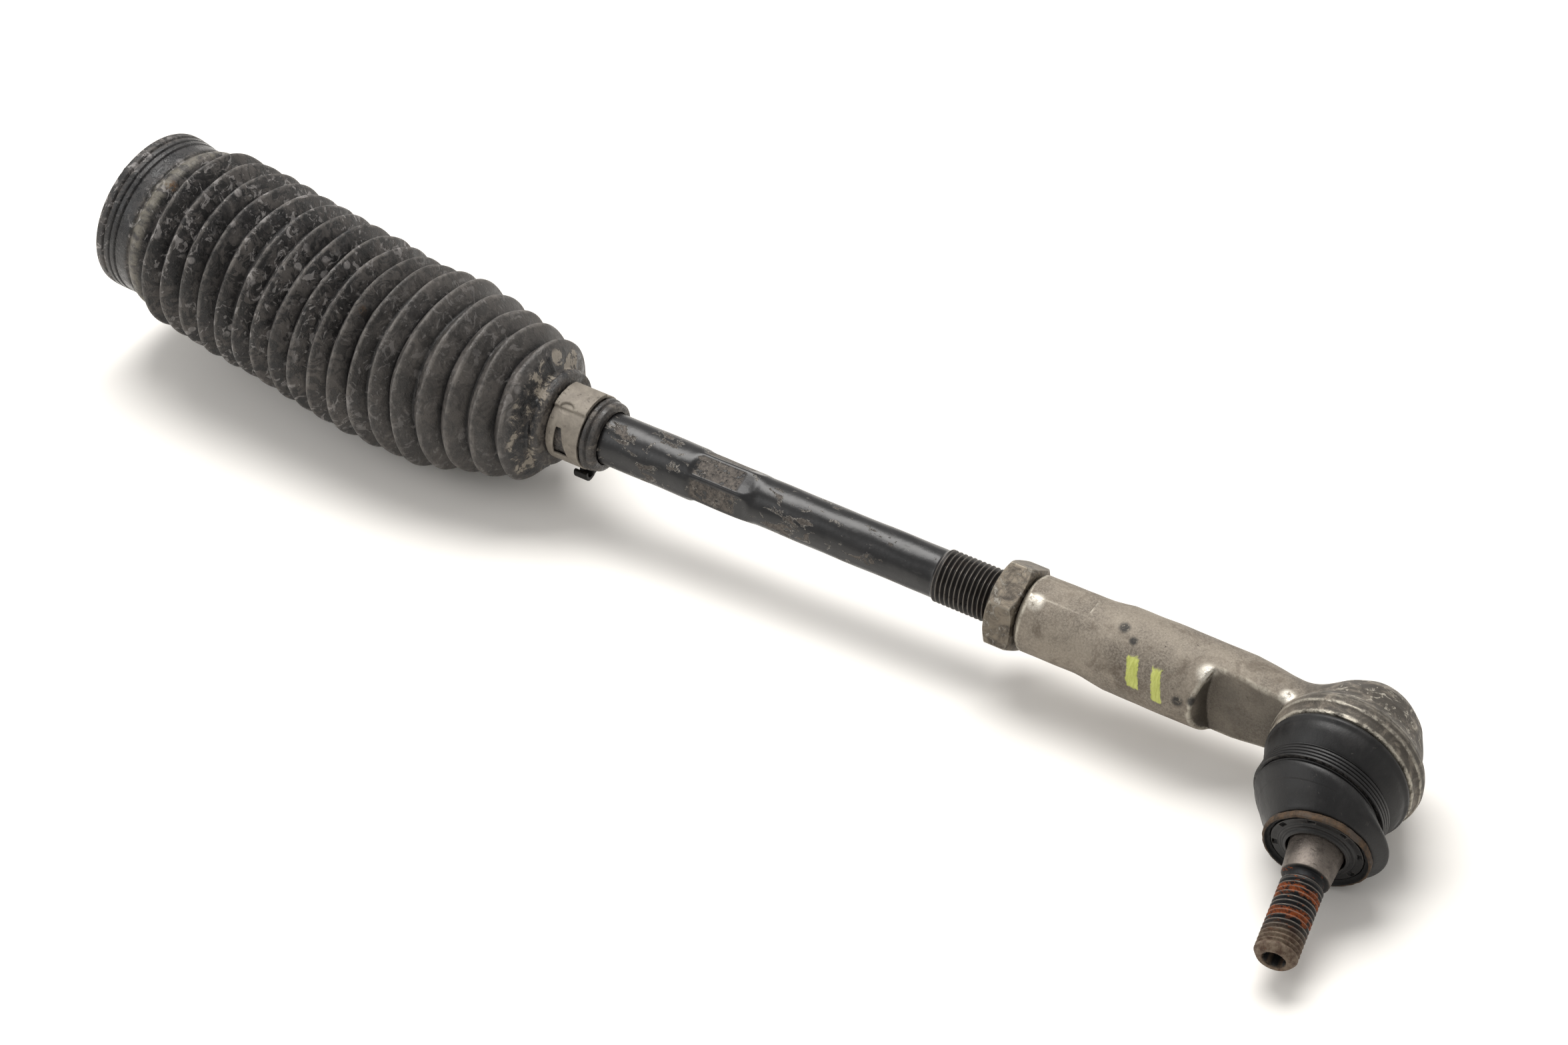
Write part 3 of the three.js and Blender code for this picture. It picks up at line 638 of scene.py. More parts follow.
def forged_steel():
    """Blasted forging gone grey-brown: sandy grain, dark pits, burnished edges, machined relief
    painted darker as shade, a few painted highlights, and two plain dabs of yellow-green paint."""
    f = Finish("forged_steel")
    x = f.part("X")
    y = f.part("Y")
    z = f.part("Z")
    edge = f.mark("edge")
    cloud = f.noise(14.0, 6, 0.66, 2.0, 0.4).step(0.36, 0.62)
    grain = f.noise(0.6, 4, 0.8, 5.0)
    colour = f.mix(cloud, "625a50", "857c6f")
    colour = f.mix(grain.step(0.40, 0.62) * 0.55, colour, "a0978a")
    specks = f.noise(0.9, 4, 0.75, 61.0).step(0.60, 0.68)
    colour = f.mix(specks * 0.45, colour, "3c362f")
    brown = f.noise(9.0, 5, 0.65, 14.0, 0.8).step(0.50, 0.66)
    colour = f.mix(brown * 0.5, colour, "55493c")
    grimy = x.step(-26.0, -10.0) * f.noise(7.0, 6, 0.7, 51.0, 0.8).step(0.30, 0.55)
    colour = f.mix(grimy * 0.85, colour, "302c27")
    scabs = x.step(-12.0, -6.0) * f.noise(3.4, 6, 0.76, 66.0, 0.6).step(0.56, 0.61) * y.step(-6.0, -2.0)
    colour = f.mix(scabs * 0.8, colour, "aea89b")
    # The machined relief, painted darker as shade in its pocket; its streaks are machining lines.
    cut = x.within(-43.0, -20.0, 0.6) * (1 - y.step(-4.9, -4.0)) * (1 - edge.step(0.03, 0.12))
    lines = f.noise((14.0, 0.5, 0.5), 4, 0.7, 3.0)
    colour = f.mix(cut * 0.85, colour, f.mix(lines, "2e2a25", "504a41"))
    worn = edge.step(0.015, 0.09) * f.noise(2.8, 5, 0.75, 8.0).step(0.34, 0.58)
    colour = f.mix(worn * 0.7, colour, "c2bcae")
    pits = f.noise(1.5, 4, 0.7, 25.0, 0.5).step(0.69, 0.73)
    colour = f.mix(pits * 0.85, colour, "2a2622")
    # Painted highlights: near-white spots round three given points, smoother and more metallic there.
    painted_highlight = f.near((-42.0, -6.5, 10.6, 3.8), (-95.0, -5.0, 9.6, 3.4), (-20.0, -3.0, 10.6, 3.0))
    painted_highlight = painted_highlight * f.noise(2.2, 5, 0.7, 19.0).step(0.28, 0.5)
    colour = f.mix(painted_highlight * 0.8, colour, "d2cdc2")
    dirt = f.near((-43.2, -11.8, 3.6, 2.3), (-47.5, -12.0, 2.2, 2.3),
                  (-68.5, -3.5, 11.9, 2.2), (-64.5, -6.0, 10.9, 1.7))
    dirt = dirt * f.noise(1.1, 4, 0.7, 31.0).step(0.30, 0.48)
    colour = f.mix(dirt * 0.95, colour, "1a1714")
    front = 1 - y.step(-8.0, -4.0)
    ragged = (f.noise(2.0, 5, 0.7, 44.0) - 0.5) * 2.2

    def dab(at_x, at_z, wide, high):
        """A slanting stroke of a brush, of half sizes wide and high, with ragged ends."""
        across = (abs(x - at_x + (z - at_z) * 0.25) + ragged).step(wide, wide + 0.5)
        along = (abs(z - at_z - 0.6) + ragged).step(high, high + 0.7)
        return (1 - across) * (1 - along)

    dabs = dab(-61.5, 4.0, 1.5, 3.6).most(dab(-54.0, 3.0, 1.2, 4.2)) * front
    paint = f.mix(f.noise((0.5, 3.0, 3.0), 4, 0.7).step(0.3, 0.7), "aeb551", "c9cf72")
    colour = f.mix(dabs * 0.9, colour, paint)
    rough = 0.56 + 0.14 * grain - 0.22 * worn - 0.26 * painted_highlight - 0.1 * cut
    height = grain * 0.35 + f.noise(3.2, 5, 0.7, 4.0) * 0.8 - pits * 0.7 + lines * cut * 0.5 + dabs * 0.3
    metallic = (0.25 + 0.35 * worn + 0.4 * painted_highlight) * (1 - dabs) * (1 - dirt)
    return f.finish(colour, rough, metallic, height, 0.22)


def worn_zinc():
    """A zinc-plated nut: dull yellowish grey, white bloom, dark oily stains, bright corners."""
    f = Finish("worn_zinc")
    edge = f.mark("edge")
    cloud = f.noise(4.5, 6, 0.7, 7.0, 0.8)
    colour = f.mix(cloud.step(0.34, 0.62), "443e37", "786f62")
    bloom = f.noise(2.2, 6, 0.75, 15.0, 0.6).step(0.54, 0.64)
    colour = f.mix(bloom * 0.7, colour, "a29d94")
    stain = f.noise(3.4, 5, 0.7, 23.0, 0.9).step(0.56, 0.66)
    colour = f.mix(stain * 0.7, colour, "2c2824")
    worn = edge.step(0.03, 0.16)
    colour = f.mix(worn * 0.6, colour, "a09a8e")
    height = f.noise(0.7, 5, 0.75) * 0.5 + f.noise(2.5, 5, 0.6, 3.0) + bloom * 0.3
    rough = 0.46 + 0.2 * bloom + 0.1 * cloud - 0.12 * worn
    return f.finish(colour, rough, 0.6 - 0.4 * bloom, height, 0.18)


def clamp_steel():
    """A coated spring band, matt warm grey, with a dark tang and dull stains."""
    f = Finish("clamp_steel")
    edge = f.mark("edge")
    cloud = f.noise(3.6, 6, 0.7, 3.0, 0.5)
    colour = f.mix(cloud.step(0.3, 0.7), "736c63", "8c857a")
    stain = f.noise(1.8, 5, 0.75, 12.0).step(0.58, 0.68)
    colour = f.mix(stain * 0.6, colour, "4a443d")
    below = 1 - f.part("Z").step(-12.9, -12.3)
    colour = f.mix(below, colour, "191817")
    colour = f.mix(edge.step(0.08, 0.2) * (1 - below) * 0.5, colour, "a8a196")
    return f.finish(colour, 0.52 + 0.12 * cloud, 0.35, f.noise(0.6, 5, 0.75) + stain * 0.5, 0.1)


def boot_rubber():
    """Satin black rubber with a faint grey bloom, rubbed lighter on its outer edges."""
    f = Finish("boot_rubber")
    edge = f.mark("edge")
    cloud = f.noise(8.0, 6, 0.65, 5.0, 0.5).step(0.35, 0.7)
    colour = f.mix(cloud, "0e0e0f", "1e1d1d")
    rub = edge.step(0.02, 0.12) * f.noise(2.0, 5, 0.75, 9.0).step(0.4, 0.62)
    colour = f.mix(rub * 0.5, colour, "5c5854")
    dust = f.noise(1.7, 5, 0.75, 27.0, 0.7).step(0.64, 0.7)
    colour = f.mix(dust * 0.35, colour, "625d58")
    height = f.noise(0.7, 5, 0.7) * 0.3 + f.noise(6.0, 4, 0.6, 2.0) * 0.9
    return f.finish(colour, 0.38 + 0.18 * cloud + 0.2 * dust, 0.0, height, 0.16, Specular_IOR_Level=0.4)


def ring_rust():
    """A thin steel ring, brown all over with darker scabs."""
    f = Finish("ring_rust")
    cloud = f.noise(2.2, 6, 0.75, 4.0, 0.7)
    colour = f.mix(cloud.step(0.3, 0.65), "2a221b", "57432f")
    colour = f.mix(f.noise(5.0, 4, 0.6, 8.0).step(0.5, 0.66) * 0.6, colour, "4c4641")
    colour = f.mix(1 - f.from_axis().step(RING_R - 0.75, RING_R - 0.5), colour, "161617")
    return f.finish(colour, 0.72, 0.25, cloud + f.noise(0.5, 4, 0.8) * 0.5, 0.22)


def stud_steel():
    """A ground grey taper, then a dark phosphated thread with bands of orange rust, and painted
    shade, near black, inside the socket in the tip.
    """
    f = Finish("stud_steel")
    x = f.part("X")
    edge = f.mark("edge")
    taper = 1 - x.step(TAPER_TO - 0.2, TAPER_TO + 0.2)
    rings = f.noise((0.35, 40.0, 40.0), 4, 0.7, 3.0)
    steel = f.mix(rings, "665f59", "8a8179")
    steel = f.mix(f.noise(4.0, 5, 0.7, 7.0).step(0.45, 0.66) * 0.6, steel, "433e3b")
    dark = f.mix(edge.step(0.02, 0.15), "1f2022", "6d6863")
    bands = x.within(50.2, 53.6, 0.7).most(x.within(57.4, 60.6, 1.0))
    band = f.noise((1.2, 4.0, 4.0), 6, 0.72, 13.0, 0.5) + bands * 0.17
    rust = band.step(0.58, 0.64)
    rust_colour = f.mix(f.noise(0.9, 5, 0.75, 6.0).step(0.35, 0.65), "54280f", "a3521b")
    dark = f.mix(rust * 0.9, dark, rust_colour)
    dark = f.mix(edge.step(0.05, 0.15) * 0.5, dark, "7b736b")
    tip = x.step(61.0, 66.0)
    tip_colour = f.mix(f.noise(2.0, 5, 0.7, 10.0).step(0.35, 0.65), "4a3220", "7a6a58")
    dark = f.mix(tip * 0.8, dark, tip_colour)
    # Painted shade: the inside of the tip's socket painted near black.
    hollow = (1 - f.from_axis().step(2.9, 3.5)) * x.step(STUD_TO - 9, STUD_TO - 8.5)
    dark = f.mix(hollow, dark, "0d0b0a")
    colour = f.mix(taper, dark, steel)
    rough = 0.36 + 0.1 * rings + (1 - taper) * (0.1 + 0.3 * rust.most(tip))
    metallic = 0.75 * taper + (1 - taper) * (0.6 - 0.55 * rust.most(tip))
    return f.finish(colour, rough, metallic, f.noise(0.7, 5, 0.75) + rust * 0.8, 0.14)


def plain_steel():
    """Machined joint steel with an oily film, for the parts that a CAD node still shows."""
    f = Finish("joint_steel", from_object=True)
    cloud = f.noise(5.0, 5, 0.65, 2.0, 0.5)
    colour = f.mix(cloud.step(0.3, 0.7), "4e4a45", "86807a")
    return f.finish(colour, 0.34 + 0.2 * cloud, 0.8, f.noise(0.8, 5, 0.75), 0.08)


def seat_nylon():
    """Off-white nylon seat, stained by grease."""
    f = Finish("seat_nylon", from_object=True)
    grease = f.noise(4.0, 5, 0.65, 2.0, 0.5).step(0.45, 0.7)
    colour = f.mix(grease, "d8d3c4", "9a8e74")
    return f.finish(colour, 0.42 + 0.1 * grease, 0.0, f.noise(1.2, 4, 0.6), 0.05)


# ---------------------------------------------------------------- bellows

def fold_radius(x):
    """Outer radius along the folds: the line through the crests, less the valley's depth times
    the distance from the crest, plus a thin raised line on the crest itself."""
    share = crest_share(x)
    return np.interp(x, RIDGE_X, RIDGE_R) - VALLEY_DEPTH * (1 - share) + 0.22 * bump(share, 1, 0.09)


def crest_share(x):
    """1 on a crest and 0 in a valley, along straight flanks whose crest is rounded: with t the
    share of the way to the valley, 1 less the square root of t squared + 0.05, rescaled."""
    nearest = np.abs(x[..., None] - RIDGE_X).argmin(-1)
    centre = RIDGE_X[nearest]
    half = np.where(x < centre,
                    centre - np.append(FOLDS_FROM, VALLEY_X)[nearest],
                    np.append(VALLEY_X, FOLDS_TO)[nearest] - centre)
    t = np.clip(np.abs(x - centre) / half, 0, 1)
    return 1 - (np.sqrt(t * t + 0.05) - math.sqrt(0.05)) / (math.sqrt(1.05) - math.sqrt(0.05))


def fold_rows(first, last, step=0.42):
    x = np.linspace(first, last, int(abs(last - first) / step) + 1)
    return np.stack([x, fold_radius(x)], 1)


def rubber_unevenness(x, r, angle):
    """Ridges that wander a little along the line, a slightly oval tube, and a fine parting line."""
    wander = 0.35 * np.sin(2 * angle + x / 23) + 0.22 * np.sin(3 * angle - x / 9 + 1.0)
    folds = smooth(-402, -396, x) * (1 - smooth(-266, -262, x))
    across = np.abs((angle - PARTING + math.pi) % TURN - math.pi) * r
    seam = 0.3 * bump(across, 0, 0.45) * smooth(20.0, 22.0, r)
    dent = 0.18 * np.sin(4 * angle + x / 6.5) + 0.14 * np.sin(7 * angle - x / 4 + 2)
    return x + wander * folds, r + (dent + 0.2 * np.cos(2 * angle)) * folds + seam


def fold_marks(x, r, angle):
    inside = r < fold_radius(x) - 0.8
    crest = np.where(inside, 0.0, crest_share(x))
    plain = (x < FOLDS_FROM) | (x > RIDGE_X[-1] + 1)
    return {"crest": np.where(plain, 0.55, crest)}


def bent_to_rack(local):
    """Points along the rod, turned about the inner ball by a smooth share of the rack joint's
    swing: none of it before BEND_FROM, all of it after BEND_TO."""
    share = smooth(0, 1, (local[:, 0] - BEND_FROM) / (BEND_TO - BEND_FROM))
    x, y, z = (local - [INNER_BALL_X, 0, 0]).T
    drift = RACK_DRIFT * share
    lift = RACK_LIFT * share
    across = x * np.sin(drift) + y * np.cos(drift)
    along = x * np.cos(drift) - y * np.sin(drift)
    return np.stack([INNER_BALL_X + along * np.cos(lift) + z * np.sin(lift), across,
                     z * np.cos(lift) - along * np.sin(lift)], 1)


def bellows_section(name, outline_out, outline_in, place, bend=None, swell=rubber_unevenness):
    """A closed wall: the outer outline one way and the inner one back."""
    outline = np.vstack([outline_out, outline_in[::-1]])
    return turned(name, outline, place, sides=176, longest=0.7, closed=True, swell=swell, bend=bend,
                  mark=fold_marks, sharp=50)


def inner_rows(first, last):
    rows = fold_rows(first, last, 0.8)
    rows[:, 1] -= WALL
    return rows


def bellows_front():
    """Folds that go with the rod, the end cone, the neck under the clamp and its two end beads."""
    last_x, last_r = RIDGE_X[-1], RIDGE_R[-1]
    folds = fold_rows(FRONT_CUT, last_x + 1.0)
    cone_end = CLAMP_FROM - 3.0
    neck = rounded([
        folds[-1], (last_x + 2.6, last_r - 2.6, 1.2), (cone_end - 1.6, 14.4, 0.8),
        (cone_end + 0.2, 15.2, 0.7), (cone_end + 2.2, 14.3, 0.6), (cone_end + 2.5, NECK_R, 0.4),
        (CLAMP_TO + 0.3, NECK_R, 0.2), (CLAMP_TO + 0.7, NECK_R + 0.9, 0.3),
        (CLAMP_TO + 2.0, NECK_R + 0.9, 0.3), (CLAMP_TO + 2.4, NECK_R + 0.1, 0.25),
        (CLAMP_TO + 2.9, NECK_R + 0.5, 0.25), (NECK_TO - 0.6, NECK_R + 0.3, 0.4),
        (NECK_TO, NECK_R - 0.8, 0.3), (NECK_TO, ROD_R + GAP)], 0.4)
    inner_folds = inner_rows(FRONT_CUT, last_x)
    inner = np.vstack([inner_folds, rounded([
        (last_x + 0.6, last_r - WALL - 0.6), (cone_end - 0.5, 12.2, 0.8),
        (CLAMP_FROM + 1, ROD_R + GAP, 0.5), (NECK_TO - 0.4, ROD_R + GAP)], 0.4)])

    def swell(x, r, angle):
        """The common unevenness, and short raised ribs down the end cone."""
        x2, r2 = rubber_unevenness(x, r, angle)
        ribs = np.clip(np.cos(8 * angle + 0.9), 0, 1) ** 14
        on_cone = smooth(last_x + 1.8, last_x + 3.2, x)
        on_cone = on_cone * (1 - smooth(cone_end - 1.6, cone_end - 0.6, x))
        outside = r > np.interp(x, [last_x, cone_end], [last_r - 3.4, 12.9])
        return x2, r2 + 0.85 * ribs * on_cone * outside

    return bellows_section("bellows_front_folds_skin", np.vstack([folds[:-1], neck]), inner, rod_line,
                           swell=swell)


def bellows_rear():
    """Folds behind the inner ball and the large collar: a lip, three fine grooves, a band for its
    clip and a half fold before the first full one."""
    rim = COLLAR_RIM
    collar = rounded([
        (rim, COLLAR_BORE_R + 0.3), (rim, 26.2, 0.5),
        (rim + 2.4, 26.3, 0.3), (rim + 2.9, 25.5, 0.2), (rim + 3.4, 26.2, 0.2),
        (rim + 4.9, 26.1, 0.2), (rim + 5.3, 25.4, 0.2), (rim + 5.7, 26.0, 0.2),
        (rim + 7.1, 25.9, 0.2), (rim + 7.5, 25.2, 0.2), (rim + 7.9, 25.7, 0.2),
        (rim + 12.4, 25.8, 0.5), (rim + 13.0, 25.1, 0.4), (rim + 15.0, 26.9, 1.3),
        (rim + 17.4, 27.1, 1.4), (rim + 19.6, 24.9, 0.7)], 0.3)
    folds_from = FIRST_RIDGE - 3.6
    folds = fold_rows(folds_from, REAR_CUT)
    bore = rounded([(rim + 0.3, COLLAR_BORE_R), (COLLAR_END - 1, COLLAR_BORE_R, 0.5),
                    (FIRST_RIDGE - 4, COLLAR_BORE_R + 0.1)], 0.3)
    inner = np.vstack([bore, inner_rows(folds_from, REAR_CUT)])
    return bellows_section("bellows_rear_folds_skin", np.vstack([collar, folds]), inner, rack_line)


def bellows_middle(name, first, last):
    return bellows_section(name, fold_rows(first, last), inner_rows(first, last), rod_line,
                           bend=bent_to_rack)


def bellows_clamp():
    """A spring band with a tapered window, a lapped end with a round notch, and a hooked tang
    below. Its field is the larger of its distances from a mid radius and from its sides."""
    middle = (CLAMP_FROM + CLAMP_TO) / 2
    half = (CLAMP_TO - CLAMP_FROM) / 2
    thick = 0.45
    around_r = 11.2

    def field(p):
        x, y, z = p[..., 0] - middle, p[..., 1], p[..., 2]
        r = np.hypot(y, z)
        angle = np.arctan2(z, y) % TURN
        lap = smooth(1.05, 1.10, angle) * (1 - smooth(2.05, 2.1, angle))
        centre = NECK_R + GAP + thick + 0.55 * lap + 0.1 * np.sin(3 * angle)
        band = np.maximum(np.abs(r - centre) - thick - 0.25 * lap, np.abs(x) - half)
        down = (angle - math.radians(173)) * around_r
        width = 1.7 + 0.17 * down
        window = np.maximum(np.abs(x + 1.2 - 0.1 * down) - width, np.abs(down) - 4.8)
        window = np.maximum(window, 8.0 - r)
        band = cut_smooth(band, window, 0.5)
        notch = np.hypot((x + 1.2) / 1.5, (angle - 2.05) * around_r) - 1.5
        band = cut_smooth(band, np.maximum(notch, centre - r), 0.4)
        beside = np.abs(x - 0.24 * half) - 0.42 * half
        tang = np.maximum(np.maximum(beside, np.abs(y) - 1.1), np.abs(z + 13.4) - 2.6)
        hook = np.maximum(np.abs(np.hypot(y + 2.1, z + 14.9) - 2.1) - 0.6, beside)
        hook = np.maximum(hook, z + 14.0)
        return join_smooth(join_smooth(band, tang, 0.8), hook, 0.8)

    low = (CLAMP_FROM - 1.0, -14.0, -19.0)
    high = (CLAMP_TO + 1.0, 14.0, 14.0)
    return drawn_from_field("bellows_clamp_band", field, low, high, 0.3, rod_line, sharp=60)


# ---------------------------------------------------------------- rod and nut

def tie_rod():
    """Ball, neck, body, wrench flats (the smaller of the round radius and the hexagon), the
    slimmer end and its rolled thread."""
    edge = math.asin(ROD_NECK_R / INNER_BALL_R)
    sweep = np.linspace(math.pi, edge, 26)
    ball = np.stack([INNER_BALL_X + INNER_BALL_R * np.cos(sweep), INNER_BALL_R * np.sin(sweep)], 1)
    ball[0, 1] = 0
    body = rounded([
        ball[-1], (INNER_BALL_X + 24, ROD_NECK_R, 2), (INNER_BALL_X + 34, ROD_R, 3),
        (ROD_STEP - 3.6, ROD_R, 1), (ROD_STEP + 0.4, ROD_THIN_R, 1),
        (ROD_THREAD_FROM - 0.8, ROD_THIN_R, 0.3), (ROD_THREAD_FROM, ROD_THREAD_R, 0.3)], 0.5)
    threaded = np.stack([np.arange(ROD_THREAD_FROM + 0.15, ROD_TO - 1.2, 0.15)] * 2, 1)
    threaded[:, 1] = ROD_THREAD_R
    end = rounded([(ROD_TO - 1.2, ROD_THREAD_R), (ROD_TO, ROD_THREAD_R - 1.3, 0.3), (ROD_TO, 0)], 0.3)

    def swell(x, r, angle):
        flats = smooth(FLATS_FROM, FLATS_FROM + 2.2, x)
        flats = flats * (1 - smooth(ROD_STEP - 2.6, ROD_STEP + 0.2, x))
        cut = np.minimum(r, hexagon(angle, FLATS_ACROSS, FLATS_TURN))
        r = r + (cut - r) * flats
        on_thread = r > ROD_THREAD_R - 1.6
        lost = thread(x, angle, ROD_THREAD_FROM, ROD_TO, THREAD_PITCH, 0.82)
        painted = smooth(INNER_BALL_X + 30, INNER_BALL_X + 40, x)
        painted = painted * (1 - smooth(ROD_THREAD_FROM - 3, ROD_THREAD_FROM, x))
        paint = 0.05 * np.sin(3 * angle + x / 7) + 0.04 * np.sin(5 * angle - x / 3)
        return x, r - lost * on_thread + paint * painted

    def flat_mark(x, r, angle):
        """1 in the middle of a wrench flat, 0 at its edges."""
        side = hexagon(angle, FLATS_ACROSS, FLATS_TURN)
        return {"flat": smooth(0.12, 0.3, ROD_R - side)}

    return turned("tie_rod_shaft_skin", np.vstack([ball[:-1], body, threaded, end]), rod_line, sides=120,
                  longest=0.9, swell=swell, sharp=48, mark=flat_mark)


def jam_nut():
    """A hexagon cut by a cone at each face, with a countersunk bore. The side's radius is the
    soft smaller of the cone's and the hexagon's: -log(exp(-11 a) + exp(-11 b)) / 11."""
    across = NUT_CORNER_R * math.sqrt(3)
    flat_r = across / 2
    outline = rounded([
        (NUT_FROM + 1.0, BORE_R, 0.2), (NUT_FROM, BORE_R + 0.9, 0.2), (NUT_FROM, flat_r + 0.1, 0.2),
        (NUT_FROM + 1.2, NUT_CORNER_R + 0.3, 0.2), (NUT_TO - 1.2, NUT_CORNER_R + 0.3, 0.2),
        (NUT_TO, flat_r + 0.1, 0.2), (NUT_TO, BORE_R + 0.9, 0.2), (NUT_TO - 1.0, BORE_R, 0.2)],
        0.2, closed=True)

    def swell(x, r, angle):
        side = hexagon(angle, across - 0.05, FLATS_TURN)
        limited = np.where(r > flat_r - 1.5, -np.logaddexp(-11 * r, -11 * side) / 11, r)
        return x, np.where(r > side - 2, limited, r)

    return turned("jam_nut_skin", outline, rod_line, sides=240, longest=0.45, closed=True, swell=swell,
                  sharp=60)


# ---------------------------------------------------------------- outer housing

def housing_field(p):
    """Distance from the forging's surface, below zero inside it. It is a round arm whose radius
    varies along it, less a relief turned about the cup's axis, joined by a fillet to a turned
    cup; the socket, the bore and two flats on the shank are cut out of that."""
    x, y, z = p[..., 0], p[..., 1], p[..., 2]
    arm_r = np.interp(
        x, [-98.85, -97.6, SHANK_STEP - 1.0, SHANK_STEP + 1.5, SHANK_STEP + 8, -34, -24, -14, 0],
        [SHANK_R - 1.2, SHANK_R, SHANK_R, SHANK_R + 0.15, ARM_R, ARM_R, 11.2, 10.4, 10.2])
    spread = np.hypot(y, z)
    arm = np.maximum(spread - arm_r, np.maximum(SHANK_FROM - x, x + 4.0))
    shank = 1 - smooth(SHANK_STEP - 1.5, SHANK_STEP + 1.5, x)
    arm = np.maximum(arm, (np.abs(z) - 10.6) * shank - (1 - shank) * 3)
    arm = arm - 0.33 * bump(x, -56.0, 8.0) * smooth(0.5, 0.95, -y / np.maximum(spread, 0.1))
    around = np.hypot(x, z)
    relief_r = np.interp(-y, [RELIEF_AT, RELIEF_AT + 20], [RELIEF_R, RELIEF_R + 4])
    arm = cut_smooth(arm, np.maximum(around - relief_r, y + RELIEF_AT), 0.9)
    cup_r = np.interp(
        -y, [-CUP_BACK, -16.4, -15.1, -10.5, -4.5, 0.0, 2.5, 4.5, 5.8, 8.2, 9.0, CUP_MOUTH],
        [6.0, 8.4, 10.2, 14.1, 16.9, 18.4, 19.8, 21.4, CUP_R, CUP_R, CUP_R - 0.7, CUP_R - 0.9])
    cup = np.maximum(around - cup_r, np.maximum(y - CUP_BACK, -CUP_MOUTH - y))
    fillet = 1.2 + 5.0 * smooth(-5, 4, y)
    body = join_smooth(arm, cup, fillet)
    body = body + 0.1 * unevenness(p, 9.0, 4, 8) * smooth(SHANK_FROM + 1, SHANK_FROM + 4, x)
    socket = np.where(y > 0, np.sqrt(around ** 2 + y ** 2), around) - SOCKET_R
    body = cut_smooth(body, socket, 0.35)
    bore = np.maximum(spread - np.minimum(BORE_R, (BORE_END - x) * BORE_R / 4), x - BORE_END)
    return cut_smooth(body, bore, 0.3)


def outer_housing():
    low = (SHANK_FROM - 1.2, -14.2, -23.0)
    high = (23.0, 20.2, 23.0)
    return drawn_from_field("outer_housing_forging", housing_field, low, high, 0.62, rod_line, sharp=55)


# ---------------------------------------------------------------- dust boot

def drooped(local):
    """Points of the boot, which hangs a little under the cup: turned down about the ball's centre
    by a smooth share of DROOP, none at the cup and all at the coil."""
    angle = math.radians(DROOP) * smooth(CUP_MOUTH + 1.5, COIL_FROM, local[:, 0])
    x, y, z = local.T
    return np.stack([x * np.cos(angle) + z * np.sin(angle), y, z * np.cos(angle) - x * np.sin(angle)], 1)


def boot_collar():
    """The boot's thick upper end: a flange against the cup, a drum that draws in to the coil's
    seat, and a plain inside."""
    top = CUP_MOUTH + GAP
    outline = rounded([
        (top, 16.3), (top, COLLAR_R + 0.6, 0.5), (top + 1.2, COLLAR_R + 0.9, 0.5),
        (top + 2.1, COLLAR_R + 0.1, 0.4), (top + 3.8, COLLAR_R - 0.2, 1.2),
        (COIL_FROM - 1.2, COLLAR_R - 1.5, 0.7), (COIL_FROM, COIL_SEAT_R, 0.4),
        (COLLAR_TO - 0.1, COIL_SEAT_R, 0.3), (COLLAR_TO + 0.2, COIL_SEAT_R - 0.5, 0.3),
        (COLLAR_TO + 0.2, COIL_SEAT_R - 1.5, 0.3), (COIL_FROM - 1, COIL_SEAT_R - 1.5, 0.4)],
        0.4, closed=True)
    return turned("boot_collar_rubber", outline, cup_line, sides=160, longest=0.7, closed=True, sharp=60,
                  bend=drooped)


def boot_coil():
    """Four turns of flat wire: four rounded steps across the seat, which climb one pitch for each
    turn about the axis."""
    pitch = 1.1
    start = COIL_FROM + 0.15
    base = COIL_SEAT_R + GAP * 0.4
    x = np.linspace(start, start + 4.1 * pitch, 74)
    outer = np.stack([x, np.full_like(x, base + 1.05)], 1)
    outline = np.vstack([[(start, base)], outer, [(x[-1], base)]])

    def swell(x, r, angle):
        phase = ((x - start) / pitch - angle / TURN) % 1
        wire = (1 - np.abs(2 * phase - 1) ** 5) * 0.62
        return x, np.where(r > base + 0.5, base + 0.4 + wire, r)

    return turned("boot_spring_coil", outline, cup_line, sides=144, longest=0.8, closed=True, swell=swell,
                  sharp=60, bend=drooped)


def leaned(local):
    """Points along the cup's line, turned with the stud by a smooth share of its lean: none at the
    coil, all at the ring."""
    share = smooth(COLLAR_TO + 0.4, RING_AT - 2.0, local[:, 0])
    turned_points = local @ stud_in_cup
    hanging = drooped(local)
    blended = hanging + share[:, None] * (turned_points - hanging)
    length = np.linalg.norm(local, axis=1) / np.maximum(np.linalg.norm(blended, axis=1), 1e-6)
    return blended * length[:, None]


def boot_bulge(name, first, last):
    """The boot's loose fold between the coil and the ring, cut into an upper and a lower wall.
    It swells more on the side that the stud leans towards."""
    outer = rounded([
        (COLLAR_TO + 0.3, 17.0), (COLLAR_TO + 0.9, 18.3, 0.6), (COLLAR_TO + 3.0, BULGE_R, 2.0),
        (COLLAR_TO + 5.6, BULGE_R - 0.5, 2.2), (RING_AT - 3.0, BULGE_R - 2.6, 2.0),
        (RING_AT - 1.4, RING_R + 0.1, 0.8), (RING_AT - 1.1, RING_R - 1.2)], 0.6)
    outer = spaced(outer, 0.35)
    inner = outer.copy()
    inner[:, 1] -= 1.2
    rows = slice(np.abs(outer[:, 0] - first).argmin(), np.abs(outer[:, 0] - last).argmin() + 1)
    outline = np.vstack([outer[rows], inner[rows][::-1]])

    def swell(x, r, angle):
        loose = bump(x, BULGE_MIDDLE, 3.2)
        side = np.cos(angle + 0.35)
        return x + 0.8 * loose * side, r + loose * (1.5 * side - 0.9 + 0.16 * np.sin(3 * angle + 1))

    return turned(name, outline, cup_line, sides=160, longest=0.6, closed=True, swell=swell, bend=leaned,
                  sharp=60, mark=lambda x, r, angle: {"edge": 0.0})


